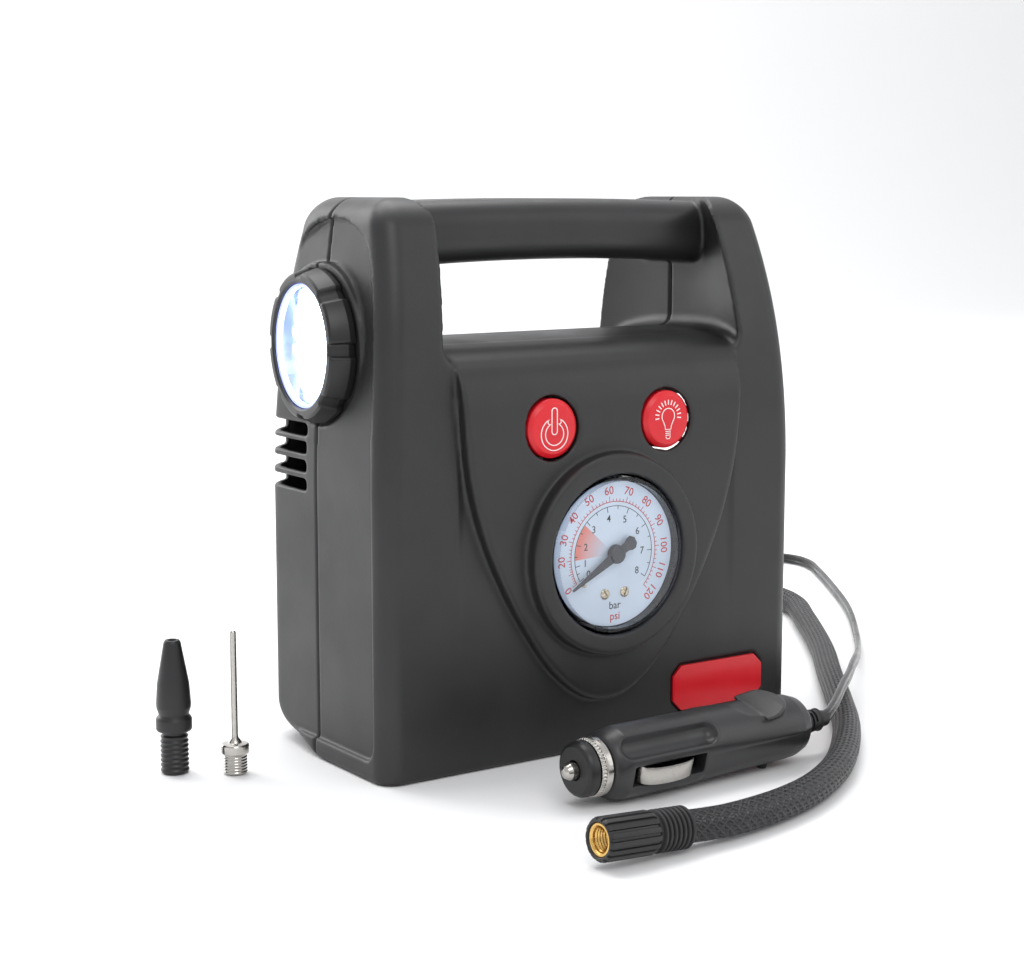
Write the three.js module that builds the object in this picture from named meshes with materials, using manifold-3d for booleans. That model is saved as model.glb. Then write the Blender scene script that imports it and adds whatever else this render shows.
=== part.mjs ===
// Portable 12 V tyre inflator with work lamp, pressure gauge, braided hose and vehicle plug.
// Millimetres, +Z up, front facing -Y, origin on the floor under the middle of the housing.
import * as THREE from 'three';
import { mergeVertices } from 'three/addons/utils/BufferGeometryUtils.js';
import Module from 'manifold-3d';

const wasm = await Module();
wasm.setup();

// ---------- driving dimensions ----------
const HEIGHT = 200;
const HALF_WIDTH = 92.4;
const FRONT_DEPTH = 49.3;
const REAR_DEPTH = 45;
const FRONT_CORNER = 8;
const REAR_CORNER = 24;
const TOP_ROUND = 10;
const BOTTOM_ROUND = 15;
const SHOULDER_Z = 100;
const WALL = 2.5;
const GAP = 0.3;

const PILLAR_INNER_X = 70;
const PILLAR_LIP_X = 62;
const GRIP_BOTTOM_Z = 177;
const GRIP_TOP_Z = 199.4;
const GRIP_DEPTH = 22;

const SHIELD_Y = -54;
const BUTTON_X = 25.4;
const BUTTON_Z = 120;
const BUTTON_R = 10.6;
const BUTTON_TRAVEL = 2.5;

const GAUGE_Z = 73.4;
const SURROUND_Y = -59.6;
const SURROUND_R = 36.3;
const LENS_R = 28.2;
const LENS_FRONT_Y = -60.4;
const DIAL_Y = -55.8;

const LAMP_Z = 148.5;
const LAMP_SEAT_X = -88.3;
const LAMP_R = 26.4;
const LAMP_DEPTH = 8.7;

const DRIVE_Y = 16;
const MOTOR_Z = 26;
const GEAR_MODULE = 1.3;
const PINION_TEETH = 10;
const GEAR_TEETH = 32;
const AXLE_Z = MOTOR_Z + GEAR_MODULE * (PINION_TEETH + GEAR_TEETH) / 2;
const CRANK_THROW = 7;
const CYLINDER_X = 4.5;
const CYLINDER_BASE_Z = 86;
const CYLINDER_TOP_Z = 113;

const PLUG_TIP = new THREE.Vector3(-56.2, -102.6, 13);
const PLUG_TURN = 1.2;
const PLUG_ROLL = 14;

const HOSE_R = 5.2;
const LEAD_R = 2.6;
const COIL_CENTRE = new THREE.Vector3(6, 106, 0.3);
const COIL_INNER_R = 20.5;
const COIL_OUTER_R = 37.2;
const COIL_HEIGHT = 10.8;

// ---------- materials ----------
function finish(colour, roughness, metalness) {
  return new THREE.MeshStandardMaterial({ color: colour, roughness, metalness });
}
const shellBlack = finish(0x3a3b3d, 0.5, 0);
const trimBlack = finish(0x1c1d1f, 0.45, 0);
const rubberBlack = finish(0x161617, 0.8, 0);
const redPlastic = finish(0xd6303a, 0.3, 0);
const clearPlastic = finish(0xdfe8f2, 0.08, 0);
const dialWhite = finish(0xc9d2de, 0.6, 0);
const nickel = finish(0xc9c6c0, 0.25, 1);
const brass = finish(0xb58a3c, 0.3, 1);
const steel = finish(0x9b9ea2, 0.35, 1);
const castMetal = finish(0x8e9094, 0.55, 0.9);
const boardGreen = finish(0x2f6b45, 0.5, 0);
const wireRed = finish(0xa32222, 0.5, 0);

// ---------- solids ----------
function toSolid(geometry) {
  const plain = geometry.clone();
  plain.deleteAttribute('normal');
  plain.deleteAttribute('uv');
  const merged = mergeVertices(plain, 1e-4);
  return new wasm.Manifold(new wasm.Mesh({
    numProp: 3,
    vertProperties: new Float32Array(merged.attributes.position.array),
    triVerts: new Uint32Array(merged.index.array),
  }));
}

function toGeometry(solid) {
  const mesh = solid.getMesh();
  const geometry = new THREE.BufferGeometry();
  geometry.setAttribute('position', new THREE.BufferAttribute(mesh.vertProperties, 3));
  geometry.setIndex(new THREE.BufferAttribute(mesh.triVerts, 1));
  return geometry;
}

function join(first, ...others) {
  return others.reduce((total, piece) => total.add(piece), first);
}

function cut(first, ...others) {
  return others.reduce((total, piece) => total.subtract(piece), first);
}

function box(x0, x1, y0, y1, z0, z1) {
  const geometry = new THREE.BoxGeometry(x1 - x0, y1 - y0, z1 - z0);
  return geometry.translate((x0 + x1) / 2, (y0 + y1) / 2, (z0 + z1) / 2);
}

const AXES = {
  x: [new THREE.Vector3(0, 1, 0), new THREE.Vector3(0, 0, 1), new THREE.Vector3(1, 0, 0)],
  y: [new THREE.Vector3(0, 0, 1), new THREE.Vector3(1, 0, 0), new THREE.Vector3(0, 1, 0)],
  z: [new THREE.Vector3(1, 0, 0), new THREE.Vector3(0, 1, 0), new THREE.Vector3(0, 0, 1)],
};

// Turns a shape drawn along +Z so that its length runs along the named axis.
function aim(geometry, axis) {
  return geometry.applyMatrix4(new THREE.Matrix4().makeBasis(...AXES[axis]));
}

// A prism along the axis; outline points are [y, z] for x, [z, x] for y and [x, y] for z.
function prism(axis, outline, from, to) {
  const shape = new THREE.Shape(outline.map(([a, b]) => new THREE.Vector2(a, b)));
  const geometry = new THREE.ExtrudeGeometry(shape, { depth: to - from, bevelEnabled: false });
  return aim(geometry.translate(0, 0, from), axis);
}

// A turned piece about the axis; profile points are [radius, distance along the axis].
function turned(axis, profile, sides = 24) {
  const points = profile.map(([r, d]) => new THREE.Vector2(r, d));
  const geometry = new THREE.LatheGeometry(points, sides);
  return aim(geometry.rotateX(Math.PI / 2), axis);
}

function rod(axis, radius, from, to, sides = 16) {
  return turned(axis, [[0, from], [radius, from], [radius, to], [0, to]], sides);
}

function pipe(axis, outer, inner, from, to, sides = 24) {
  return turned(axis, [[inner, from], [outer, from], [outer, to], [inner, to], [inner, from]], sides);
}

// A round bar that follows a smooth curve through the points.
function tube(points, radius, sides, steps) {
  const curve = new THREE.CatmullRomCurve3(points.map((p) => new THREE.Vector3(...p)), false, 'centripetal');
  const section = new THREE.Shape();
  for (let i = 0; i < sides; i += 1) {
    const turn = (i + 0.5) / sides * 2 * Math.PI;
    const x = radius * Math.cos(turn);
    const y = radius * Math.sin(turn);
    if (i === 0) section.moveTo(x, y);
    else section.lineTo(x, y);
  }
  section.closePath();
  return new THREE.ExtrudeGeometry(section, { steps, bevelEnabled: false, extrudePath: curve });
}

function arc(cx, cy, radius, fromDeg, toDeg, steps) {
  const points = [];
  for (let i = 0; i <= steps; i += 1) {
    const turn = THREE.MathUtils.degToRad(fromDeg + (toDeg - fromDeg) * i / steps);
    points.push([cx + radius * Math.cos(turn), cy + radius * Math.sin(turn)]);
  }
  return points;
}

const model = new THREE.Group();

function add(name, source, material, parent = model) {
  const geometry = source.isBufferGeometry ? source : toGeometry(source);
  const mesh = new THREE.Mesh(geometry, material);
  mesh.name = name;
  parent.add(mesh);
  return mesh;
}

// ---------- housing outline ----------
function taper(z, amount, power) {
  return amount * Math.max(0, (z - SHOULDER_Z) / 100) ** power;
}

function topRounding(z, top) {
  const rise = Math.max(0, z - (top - TOP_ROUND));
  return TOP_ROUND - Math.sqrt(Math.max(0, TOP_ROUND ** 2 - rise ** 2));
}

function bottomRounding(z, inset) {
  const radius = BOTTOM_ROUND - inset;
  const drop = Math.min(radius, Math.max(0, BOTTOM_ROUND - z));
  return radius - Math.sqrt(radius ** 2 - drop ** 2);
}

// One level outline of the housing, drawn as a rounded rectangle, inset for the inner face.
// The rear corners also draw in towards the floor.
function levelOutline(z, inset) {
  const shrink = inset + topRounding(z, HEIGHT - inset);
  const tuck = bottomRounding(z, inset);
  const halfWidth = HALF_WIDTH - taper(z, 9.5, 1.6) - shrink;
  const front = -(FRONT_DEPTH - taper(z, 16.9, 2.6)) + shrink;
  const rear = REAR_DEPTH - taper(z, 14, 2.6) - shrink - tuck;
  const frontR = Math.max(1.5, FRONT_CORNER - shrink);
  const rearR = Math.max(4, REAR_CORNER - shrink - tuck / 2);
  const rearHalf = halfWidth - tuck;
  return [
    ...arc(-halfWidth + frontR, front + frontR, frontR, 180, 270, 2),
    ...arc(halfWidth - frontR, front + frontR, frontR, 270, 360, 2),
    ...arc(rearHalf - rearR, rear - rearR, rearR, 0, 90, 4),
    ...arc(-rearHalf + rearR, rear - rearR, rearR, 90, 180, 4),
  ];
}

const OUTER_LEVELS = [0, 2, 6, 15, 100, 126, 148, 166, 180, 190, 195, 198.4, HEIGHT];
const INNER_LEVELS = [0, 6, 15, 100, 140, 168, 186, 195, HEIGHT];

function housingBlock(inset) {
  const levels = inset > 0 ? INNER_LEVELS : OUTER_LEVELS;
  const heights = levels.map((z) => Math.min(Math.max(z, inset), HEIGHT - inset));
  const positions = [];
  const faces = [];
  const rings = heights.map((z) => levelOutline(z, inset));
  const count = rings[0].length;
  rings.forEach((ring, level) => ring.forEach(([x, y]) => positions.push(x, y, heights[level])));
  for (let level = 0; level < rings.length - 1; level += 1) {
    for (let i = 0; i < count; i += 1) {
      const a = level * count + i;
      const b = level * count + (i + 1) % count;
      faces.push(a, b, b + count, a, b + count, a + count);
    }
  }
  const last = (rings.length - 1) * count;
  for (let i = 1; i < count - 1; i += 1) {
    faces.push(0, i + 1, i);
    faces.push(last, last + i, last + i + 1);
  }
  const geometry = new THREE.BufferGeometry();
  geometry.setAttribute('position', new THREE.BufferAttribute(new Float32Array(positions), 3));
  geometry.setIndex(faces);
  return toSolid(geometry);
}

// Crowned top of the body below the handle gap, as [y, z] points from front to rear.
function crown(inset) {
  const points = [[-54, 118], [-53, 131], [-49.5, 140.5], [-42, 146.5], [-28, 149.3], [-8, 150],
    [12, 149], [28, 145.5], [38, 138], [44, 126]];
  return points.map(([y, z]) => [y * (1 - inset / 54), z - inset]);
}

function belowCrown(inset) {
  return toSolid(prism('x', [[-80, -20], [-80, 118 - inset], ...crown(inset), [80, 126 - inset], [80, -20]]
    .reverse(), -80, 80));
}

// The space between the two pillars, flaring inward at the front and rear edges.
function throat(inset) {
  const lip = PILLAR_LIP_X + inset;
  const waist = PILLAR_INNER_X + inset;
  const right = [[lip, -70], [lip, -43], [waist, -20], [waist, 17], [lip, 38], [lip, 70]];
  const left = right.map(([x, y]) => [-x, y]).reverse();
  return toSolid(prism('z', [...right, ...left], 118, 230)).subtract(belowCrown(inset));
}

function gripSection(inset) {
  const low = GRIP_BOTTOM_Z + inset;
  const high = GRIP_TOP_Z - inset;
  const deep = GRIP_DEPTH - inset;
  const round = 9 - inset;
  return [
    ...arc(-deep + round, low + round, round, 180, 270, 3),
    ...arc(deep - round, low + round, round, 270, 360, 3),
    ...arc(deep - round, high - round, round, 0, 90, 3),
    ...arc(-deep + round, high - round, round, 90, 180, 3),
  ];
}

// Raised shield on the front, as [z, x] points going round its outline.
function shieldOutline(inset) {
  const side = [[152, 62], [128, 62], [105, 59.5], [85, 54], [65, 45], [48, 35], [34, 24], [23, 12], [18, 3]];
  const scale = 1 - inset / 60;
  const right = side.map(([z, x]) => [z, x * scale]);
  const left = side.map(([z, x]) => [z, -x * scale]).reverse();
  return [...right, ...left];
}

function shieldBlock(inset) {
  const plate = toSolid(prism('y', shieldOutline(inset), SHIELD_Y + inset, -30));
  return plate.intersect(belowCrown(inset));
}

const lampSeat = toSolid(rod('x', LAMP_R + 0.9, LAMP_SEAT_X, LAMP_SEAT_X + WALL, 32)
  .translate(0, 0, LAMP_Z));
const lampClearance = toSolid(rod('x', LAMP_R + 0.9, -110, LAMP_SEAT_X, 32).translate(0, 0, LAMP_Z));
const lampHole = toSolid(rod('x', 20.5, -110, LAMP_SEAT_X + 8, 24).translate(0, 0, LAMP_Z));

// Raised round boss on the shield that carries the gauge.
const gaugeSurround = toSolid(turned('y', [[0, SURROUND_Y], [SURROUND_R - 1.2, SURROUND_Y],
  [SURROUND_R, SURROUND_Y + 1.2], [SURROUND_R + 0.3, SHIELD_Y + 1], [0, SHIELD_Y + 1]], 36)
  .translate(0, 0, GAUGE_Z));

const outerBody = join(
  housingBlock(0).subtract(throat(0)),
  shieldBlock(0),
  gaugeSurround,
  toSolid(prism('x', gripSection(0), -PILLAR_INNER_X - 1, PILLAR_INNER_X + 1)),
);
const innerSpace = join(
  housingBlock(WALL).subtract(throat(WALL)),
  shieldBlock(WALL),
);
const gripSpace = toSolid(prism('x', gripSection(WALL), -PILLAR_INNER_X - 4, PILLAR_INNER_X + 4));
const hollowBody = join(cut(outerBody, innerSpace, gripSpace, lampClearance), lampSeat).subtract(lampHole);

const SCREWS = [[-78, 186], [78, 186], [-83, 84], [83, 84], [-82, 11], [82, 11]];
const BOSS_R = 4.6;
const SCREW_HEAD_Y = 9;

// Screw posts run from each shell's wall to the parting plane, and end inside the wall.
function posts(radius, from, to) {
  const within = housingBlock(WALL / 2);
  return SCREWS.map(([x, z]) => toSolid(rod('y', radius, from, to, 10).translate(x, 0, z)).intersect(within));
}

const pilotHoles = SCREWS.map(([x, z]) => toSolid(rod('y', 1.75, -16, 1, 6).translate(x, 0, z)));
const headHoles = SCREWS.map(([x, z]) => toSolid(turned('y', [[0, -2], [2.1, -2], [2.1, SCREW_HEAD_Y - GAP],
  [3.9, SCREW_HEAD_Y - GAP], [3.9, 60], [0, 60]], 8).translate(x, 0, z)));

// ---------- front shell ----------
// The shells part at the middle plane, where the rear shell's floor runs a short lip under the front one.
const FLOOR_LIP = 6;
const FLOOR_LIP_Z = 3;
const frontSide = toSolid(box(-110, 110, -80, -GAP / 2, -10, 220))
  .subtract(toSolid(box(-110, 110, -FLOOR_LIP - GAP / 2, 1, -20, FLOOR_LIP_Z + GAP)));
const gaugeHole = toSolid(rod('y', LENS_R + 2 * GAP, -80, -40, 30).translate(0, 0, GAUGE_Z));
const buttonHoles = [-BUTTON_X, BUTTON_X].map((x) => (
  toSolid(rod('y', BUTTON_R + 0.8, -80, -40, 18).translate(x, 0, BUTTON_Z))));
const badgeRecess = toSolid(prism('y', badgeOutline(0.3), -60, -FRONT_DEPTH + 0.9));

function badgeOutline(grow) {
  const [x0, x1, z0, z1, chamfer] = [33 - grow, 77 + grow, 8.5 - grow, 26 + grow, 4];
  return [[z0, x0 + chamfer], [z0 + chamfer, x0], [z1, x0], [z1, x1 - chamfer], [z1 - chamfer, x1], [z0, x1]]
    .reverse();
}

add('front_shell', cut(
  join(hollowBody, ...posts(BOSS_R, -60, -0.4)).intersect(frontSide),
  gaugeHole,
  ...buttonHoles,
  badgeRecess,
  ...pilotHoles,
), shellBlack);

// ---------- rear shell ----------
const rearSide = toSolid(box(-110, 110, GAP / 2, 80, -10, 220))
  .add(toSolid(box(-110, 110, -FLOOR_LIP + GAP / 2, 1, -10, FLOOR_LIP_Z)));
const VENT_TOP_Z = 120;
const VENT_PITCH = 6.6;
const VENT_HEIGHT = 4.4;
const ventSlots = [];
for (let i = 0; i < 4; i += 1) {
  const z1 = VENT_TOP_Z - i * VENT_PITCH;
  ventSlots.push(toSolid(box(-110, -64, 7, 70, z1 - VENT_HEIGHT, z1)));
  ventSlots.push(toSolid(box(64, 110, 7, 70, z1 - VENT_HEIGHT, z1)));
}
const GLAND = { x: 66, z: 22 };
const GROMMET = { x: -20, z: 16 };
const glandHole = toSolid(rod('y', 8.3, 30, 70, 20).translate(GLAND.x, 0, GLAND.z));
const grommetHole = toSolid(rod('y', 5.3, 30, 70, 20).translate(GROMMET.x, 0, GROMMET.z));

add('rear_shell', cut(
  join(hollowBody, ...posts(BOSS_R + 0.6, 0.4, 60)).intersect(rearSide),
  ...ventSlots,
  glandHole,
  grommetHole,
  ...headHoles,
), shellBlack);

SCREWS.forEach(([x, z], i) => {
  const screw = turned('y', [[0, -13], [1.3, -13], [1.3, SCREW_HEAD_Y], [3.2, SCREW_HEAD_Y],
    [2.4, SCREW_HEAD_Y + 2.4], [0, SCREW_HEAD_Y + 2.4]], 8);
  add(`case_screw_${i + 1}`, screw.translate(x, 0, z), steel);
});

add('badge_plate', prism('y', badgeOutline(0), -FRONT_DEPTH - 0.8, -FRONT_DEPTH + 0.6), redPlastic);

// ---------- push buttons and their switches ----------
const buttonProfile = [[0, 0], [8.6, 0], [BUTTON_R, 1.2], [BUTTON_R, 7], [2.6, 7], [2.6, 9.6], [0, 9.6]];
const BUTTON_FACE_Y = SHIELD_Y - 0.6;
const SWITCH_Y = BUTTON_FACE_Y + 9.6 + BUTTON_TRAVEL + 0.4;
for (const [name, x] of [['power', -BUTTON_X], ['light', BUTTON_X]]) {
  add(`${name}_button`, turned('y', buttonProfile, 18).translate(x, BUTTON_FACE_Y, BUTTON_Z), redPlastic);
  add(`${name}_switch`, box(x - 8, x + 8, SWITCH_Y, SWITCH_Y + 15, BUTTON_Z - 6, BUTTON_Z + 6), trimBlack);
}

// ---------- pressure gauge ----------
const gauge = new THREE.Group();
gauge.position.z = GAUGE_Z;
model.add(gauge);

add('gauge_lens', turned('y', [[0, LENS_FRONT_Y - 0.6], [LENS_R - 1.4, LENS_FRONT_Y],
  [LENS_R, LENS_FRONT_Y + 1.2], [LENS_R, -51.5], [LENS_R - 1.4, -51.5], [LENS_R - 1.4, LENS_FRONT_Y + 1.4],
  [0, LENS_FRONT_Y + 0.8]], 30), clearPlastic, gauge);
add('gauge_case', toSolid(turned('y', [[0, -31], [26.6, -31], [26.6, DIAL_Y + 1.1], [25.2, DIAL_Y + 1.1],
  [25.2, -32.4], [0, -32.4]].reverse(), 24)).subtract(toSolid(rod('y', 4.3, -40, -20, 12)
  .translate(0, 0, -16))), steel, gauge);
add('gauge_dial', toSolid(rod('y', 26.4, DIAL_Y, DIAL_Y + 0.8, 30))
  .subtract(toSolid(rod('y', 1.7, -70, -40, 10))), dialWhite, gauge);
add('gauge_stem', join(
  toSolid(turned('y', [[0, -41], [5.5, -41], [5.5, -36.4], [4, -36.4], [4, -20], [0, -20]], 12)),
  toSolid(rod('z', 2.2, 0, 14, 10)).translate(0, -24, 0),
).translate(0, 0, -16), brass, gauge);
add('bourdon_tube', toSolid(turned('y', [[15, -45], [17.6, -45], [17.6, -38], [15, -38], [15, -45]], 30))
  .subtract(toSolid(prism('y', [[0, 0], [-40, -24], [-40, 34], [14, 34]].reverse(), -60, -20))),
brass, gauge);
add('gauge_movement', join(
  toSolid(box(-7, 7, -50, -48.6, -9, 9)),
  toSolid(box(-7, 7, -42, -40.6, -9, 9)),
  toSolid(rod('y', 1.4, -49, -41, 8)).translate(5, 0, 6.5),
  toSolid(rod('y', 1.4, -49, -41, 8)).translate(-5, 0, 6.5),
  toSolid(rod('y', 1.4, -49, -41, 8)).translate(5, 0, -6.5),
), brass, gauge);

// The needle points at zero on the lower left; its blade is drawn along +X and then turned there.
const NEEDLE_REST = 210;
const needleBlade = prism('y', [[-0.4, 22.5], [0.4, 22.5], [1.6, 3], [1.3, -4.5], [2.4, -6.5], [2.2, -8.4],
  [1, -9.2], [-1, -9.2], [-2.2, -8.4], [-2.4, -6.5], [-1.3, -4.5], [-1.6, 3]], -58.4, -57.8);
const needleSolid = join(
  toSolid(needleBlade),
  toSolid(turned('y', [[0, -59.1], [2.8, -59.1], [3.3, -58.7], [3.5, -56.6], [1.2, -56.6], [1.2, -51],
    [0, -51]], 20)),
).rotate([0, -NEEDLE_REST, 0]);
add('gauge_needle', needleSolid, trimBlack, gauge);

// ---------- side lamp ----------
const lamp = new THREE.Group();
lamp.position.set(LAMP_SEAT_X, 0, LAMP_Z);
model.add(lamp);

// The bezel's rim has shallow finger notches between broad lobes.
const LOBES = 8;
const lobeOutline = [];
for (let i = 0; i < LOBES; i += 1) {
  const parts = [[LAMP_R - 1.3, 0], [LAMP_R - 1.3, 0.16], [LAMP_R, 0.22], [LAMP_R, 0.48], [LAMP_R, 0.74],
    [LAMP_R, 0.94]];
  for (const [r, part] of parts) {
    const turn = (i + part) / LOBES * 2 * Math.PI;
    lobeOutline.push([r * Math.cos(turn), r * Math.sin(turn)]);
  }
}
add('lamp_bezel', cut(
  toSolid(prism('x', lobeOutline, -LAMP_DEPTH, -GAP)),
  toSolid(rod('x', 21.8, -LAMP_DEPTH - 1, 1, 24)),
), trimBlack, lamp);
add('lamp_lens', turned('x', [[0, -LAMP_DEPTH + 0.4], [21.4, -LAMP_DEPTH + 1.2],
  [21.4, -LAMP_DEPTH + 2.6], [0, -LAMP_DEPTH + 1.9]], 24), clearPlastic, lamp);
add('lamp_reflector', turned('x', [[17.2, 4.4], [21.3, -LAMP_DEPTH + 3], [21.4, -LAMP_DEPTH + 3.8],
  [20, -0.2], [20, 5.2], [17.2, 5.2], [17.2, 4.4]], 20), nickel, lamp);
const leds = [toSolid(rod('x', 19.6, 5.6, 7.2, 20))];
for (const [ring, many] of [[0, 1], [6.6, 6], [12.8, 12]]) {
  for (let i = 0; i < many; i += 1) {
    const turn = i / many * 2 * Math.PI;
    const bulb = toSolid(turned('x', [[0, 0.8], [2.3, 2.4], [2.3, 6], [0, 6]], 6));
    leds.push(bulb.translate([0, ring * Math.cos(turn), ring * Math.sin(turn)]));
  }
}
add('led_board', join(...leds), boardGreen, lamp);

// ---------- compressor: motor, gear, crank, piston and cylinder ----------
const INVOLUTE_PRESSURE = THREE.MathUtils.degToRad(25);

// Involute gear outline with backlash; the middle of a tooth points along the first axis.
function gearOutline(teeth, rootR, tipR, backlash) {
  const pitchR = GEAR_MODULE * teeth / 2;
  const baseR = pitchR * Math.cos(INVOLUTE_PRESSURE);
  const inv = (a) => Math.tan(a) - a;
  const halfTooth = Math.PI / (2 * teeth) - backlash / (2 * pitchR);
  const flank = (r) => halfTooth + inv(INVOLUTE_PRESSURE) - inv(Math.acos(Math.min(1, baseR / r)));
  const start = Math.max(baseR, rootR + 0.05);
  const radii = [start, tipR];
  const points = [];
  for (let i = 0; i < teeth; i += 1) {
    const middle = i / teeth * 2 * Math.PI;
    const put = (r, turn) => points.push([r * Math.cos(turn), r * Math.sin(turn)]);
    put(rootR, middle - flank(start));
    radii.forEach((r) => put(r, middle - flank(r)));
    radii.slice().reverse().forEach((r) => put(r, middle + flank(r)));
    put(rootR, middle + flank(start));
  }
  return points;
}

const GEAR_R = GEAR_MODULE * GEAR_TEETH / 2;
const PINION_R = GEAR_MODULE * PINION_TEETH / 2;
const ADDENDUM = 0.85 * GEAR_MODULE;
const DEDENDUM = 1.2 * GEAR_MODULE;

const drive = new THREE.Group();
drive.position.set(0, DRIVE_Y, MOTOR_Z);
model.add(drive);

add('motor_can', cut(
  toSolid(turned('x', [[0, -66], [16.5, -66], [18, -64.5], [18, -15.5], [17, -14.3], [0, -14.3]], 24)),
  toSolid(rod('x', 3.4, -20, -10, 12)),
), steel, drive);
add('motor_end_cap', turned('x', [[0, -71], [9, -71], [9, -69.4], [17.4, -69.4], [17.4, -66.3], [0, -66.3]],
  20), trimBlack, drive);
const pinionOutline = gearOutline(PINION_TEETH, PINION_R - DEDENDUM, PINION_R + ADDENDUM, 0.25);
add('motor_pinion', join(
  toSolid(prism('x', pinionOutline, -9, -1)),
  toSolid(rod('x', 1.6, -19, -8, 10)),
), brass, drive);

const crank = new THREE.Group();
crank.position.set(0, DRIVE_Y, AXLE_Z);
model.add(crank);
const gearOutlinePoints = gearOutline(GEAR_TEETH, GEAR_R - DEDENDUM, GEAR_R + ADDENDUM, 0.25);
add('crank_gear', join(
  cut(
    toSolid(prism('x', gearOutlinePoints, -8, -2.2)),
    toSolid(pipe('x', 16.5, 9, -9, -6, 20)),
    toSolid(rod('x', 3.4, -12, 4, 12)),
  ),
  toSolid(pipe('x', 6, 3.4, -9.6, -7.5, 16)),
  toSolid(rod('x', 2.6, -3, 1.6, 12)).translate(0, 0, CRANK_THROW),
  toSolid(prism('x', [[-9, -4], [-7, -11], [7, -11], [9, -4]], -3, 1.4)),
), steel, crank);
add('crank_axle', turned('x', [[0, -15], [3, -15], [3, -1], [2.2, -0.4], [0, -0.4]], 12), steel, crank);

add('gear_frame', cut(
  join(
    toSolid(box(-13.6, -11.6, DRIVE_Y - 20, DRIVE_Y + 20, 0, 112)),
    toSolid(box(-13.6, 24, DRIVE_Y - 16, DRIVE_Y + 16, CYLINDER_BASE_Z - 6.4, CYLINDER_BASE_Z - 4.4)),
  ).intersect(housingBlock(WALL + GAP)),
  toSolid(rod('x', 6.4, -20, -8, 16)).translate(0, DRIVE_Y, MOTOR_Z),
  toSolid(rod('x', 3.4, -20, -8, 12)).translate(0, DRIVE_Y, AXLE_Z),
  toSolid(rod('z', 11.5, 60, 100, 20)).translate(CYLINDER_X, DRIVE_Y, 0),
), steel);

const pump = new THREE.Group();
pump.position.set(CYLINDER_X, DRIVE_Y, 0);
model.add(pump);
const BORE_R = 10.3;
add('pump_cylinder', turned('z', [[BORE_R, CYLINDER_BASE_Z - 4], [16, CYLINDER_BASE_Z - 4],
  [16, CYLINDER_BASE_Z], [12.6, CYLINDER_BASE_Z], [12.6, CYLINDER_TOP_Z - 3], [15, CYLINDER_TOP_Z - 3],
  [15, CYLINDER_TOP_Z], [BORE_R, CYLINDER_TOP_Z], [BORE_R, CYLINDER_BASE_Z - 4]], 20), castMetal, pump);
add('cylinder_head', join(
  toSolid(box(-14.5, 14.5, -14.5, 14.5, CYLINDER_TOP_Z + GAP, CYLINDER_TOP_Z + 8)),
  toSolid(rod('z', 8, CYLINDER_TOP_Z + 6, CYLINDER_TOP_Z + 15, 16)),
  toSolid(rod('x', 3.2, 10, 22, 10)).translate(0, 0, CYLINDER_TOP_Z + 5),
  toSolid(rod('y', 2.6, -22, -10, 10)).translate(0, 0, CYLINDER_TOP_Z + 5),
), castMetal, pump);
const PISTON_TOP_Z = CYLINDER_TOP_Z - 1.2;
const PIN_TOP_Z = AXLE_Z + CRANK_THROW;
add('piston_rod', cut(
  join(
    toSolid(turned('z', [[0, PISTON_TOP_Z - 7], [9.6, PISTON_TOP_Z - 7], [9.6, PISTON_TOP_Z - 2],
      [10, PISTON_TOP_Z - 1.4], [10, PISTON_TOP_Z], [0, PISTON_TOP_Z]], 24)),
    toSolid(box(-2.5, 2.5, -3.6, 3.6, PIN_TOP_Z + 4, PISTON_TOP_Z - 6)),
    toSolid(rod('x', 6.4, -2.5, 2.5, 16)).translate(0, 0, PIN_TOP_Z),
  ),
  toSolid(rod('x', 3.2, -4, 4, 12)).translate(0, 0, PIN_TOP_Z),
), castMetal, pump);

// ---------- air lines and wires inside ----------
const headPort = [CYLINDER_X, DRIVE_Y, CYLINDER_TOP_Z + 5];
add('outlet_air_line', tube([[headPort[0] + 22.6, DRIVE_Y, headPort[2]], [33, DRIVE_Y, headPort[2]],
  [46, DRIVE_Y, 113], [59, DRIVE_Y, 98], [64, DRIVE_Y, 70], [GLAND.x, 16.5, 44], [GLAND.x, 17.6, 33],
  [GLAND.x, 21, 25.5], [GLAND.x, 25.5, 22.3], [GLAND.x, 29.5, GLAND.z]], 3.4, 8, 16), rubberBlack);
add('gauge_air_line', tube([[CYLINDER_X, DRIVE_Y - 22.6, headPort[2]], [4.5, -11, headPort[2] - 0.3],
  [3, -19, 110], [1, -23.5, 96], [0, -24, 82], [0, -24, 72.6]], 2.2, 8, 10), rubberBlack);
add('motor_wire', tube([[-25.4, -24, 116], [-32, -18, 100], [-46, -12, 78], [-60, 0, 56], [-74, 10, 40],
  [-76, 14, 32]], 1.2, 6, 14), wireRed);
add('lamp_wire', tube([[25.4, -24, 127], [10, -21, 138], [-20, -18, 141], [-50, -10, 139], [-74, -4, 141],
  [-78, 0, 147]], 1.2, 6, 14), wireRed);
add('supply_wire', tube([[GROMMET.x, 39.4, GROMMET.z], [-20, 37.4, 14.6], [-20, 33, 8.4], [-20, 25, 5],
  [-20, 0, 4.6], [-20, -22, 5], [-24, -36, 12], [-34, -38, 32], [-36, -38, 80], [-31, -35, 104],
  [-28, -33, 113.4]], 1.5, 6, 26), trimBlack);

// ---------- hose gland and lead grommet ----------
add('hose_gland', toSolid(turned('y', [[0, 30], [7.9, 30], [7.9, 45.3], [10.5, 45.3], [10.5, 48.5], [8.4, 50],
  [7.4, 56], [0, 56]], 20)).translate(GLAND.x, 0, GLAND.z), trimBlack);
add('lead_grommet', toSolid(turned('y', [[0, 41.4], [4.9, 41.4], [4.9, 45.3], [7.2, 45.3], [7.2, 47.5],
  [4.6, 49], [3.2, 66], [0, 66]], 14)).translate(GROMMET.x, 0, GROMMET.z), rubberBlack);

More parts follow.
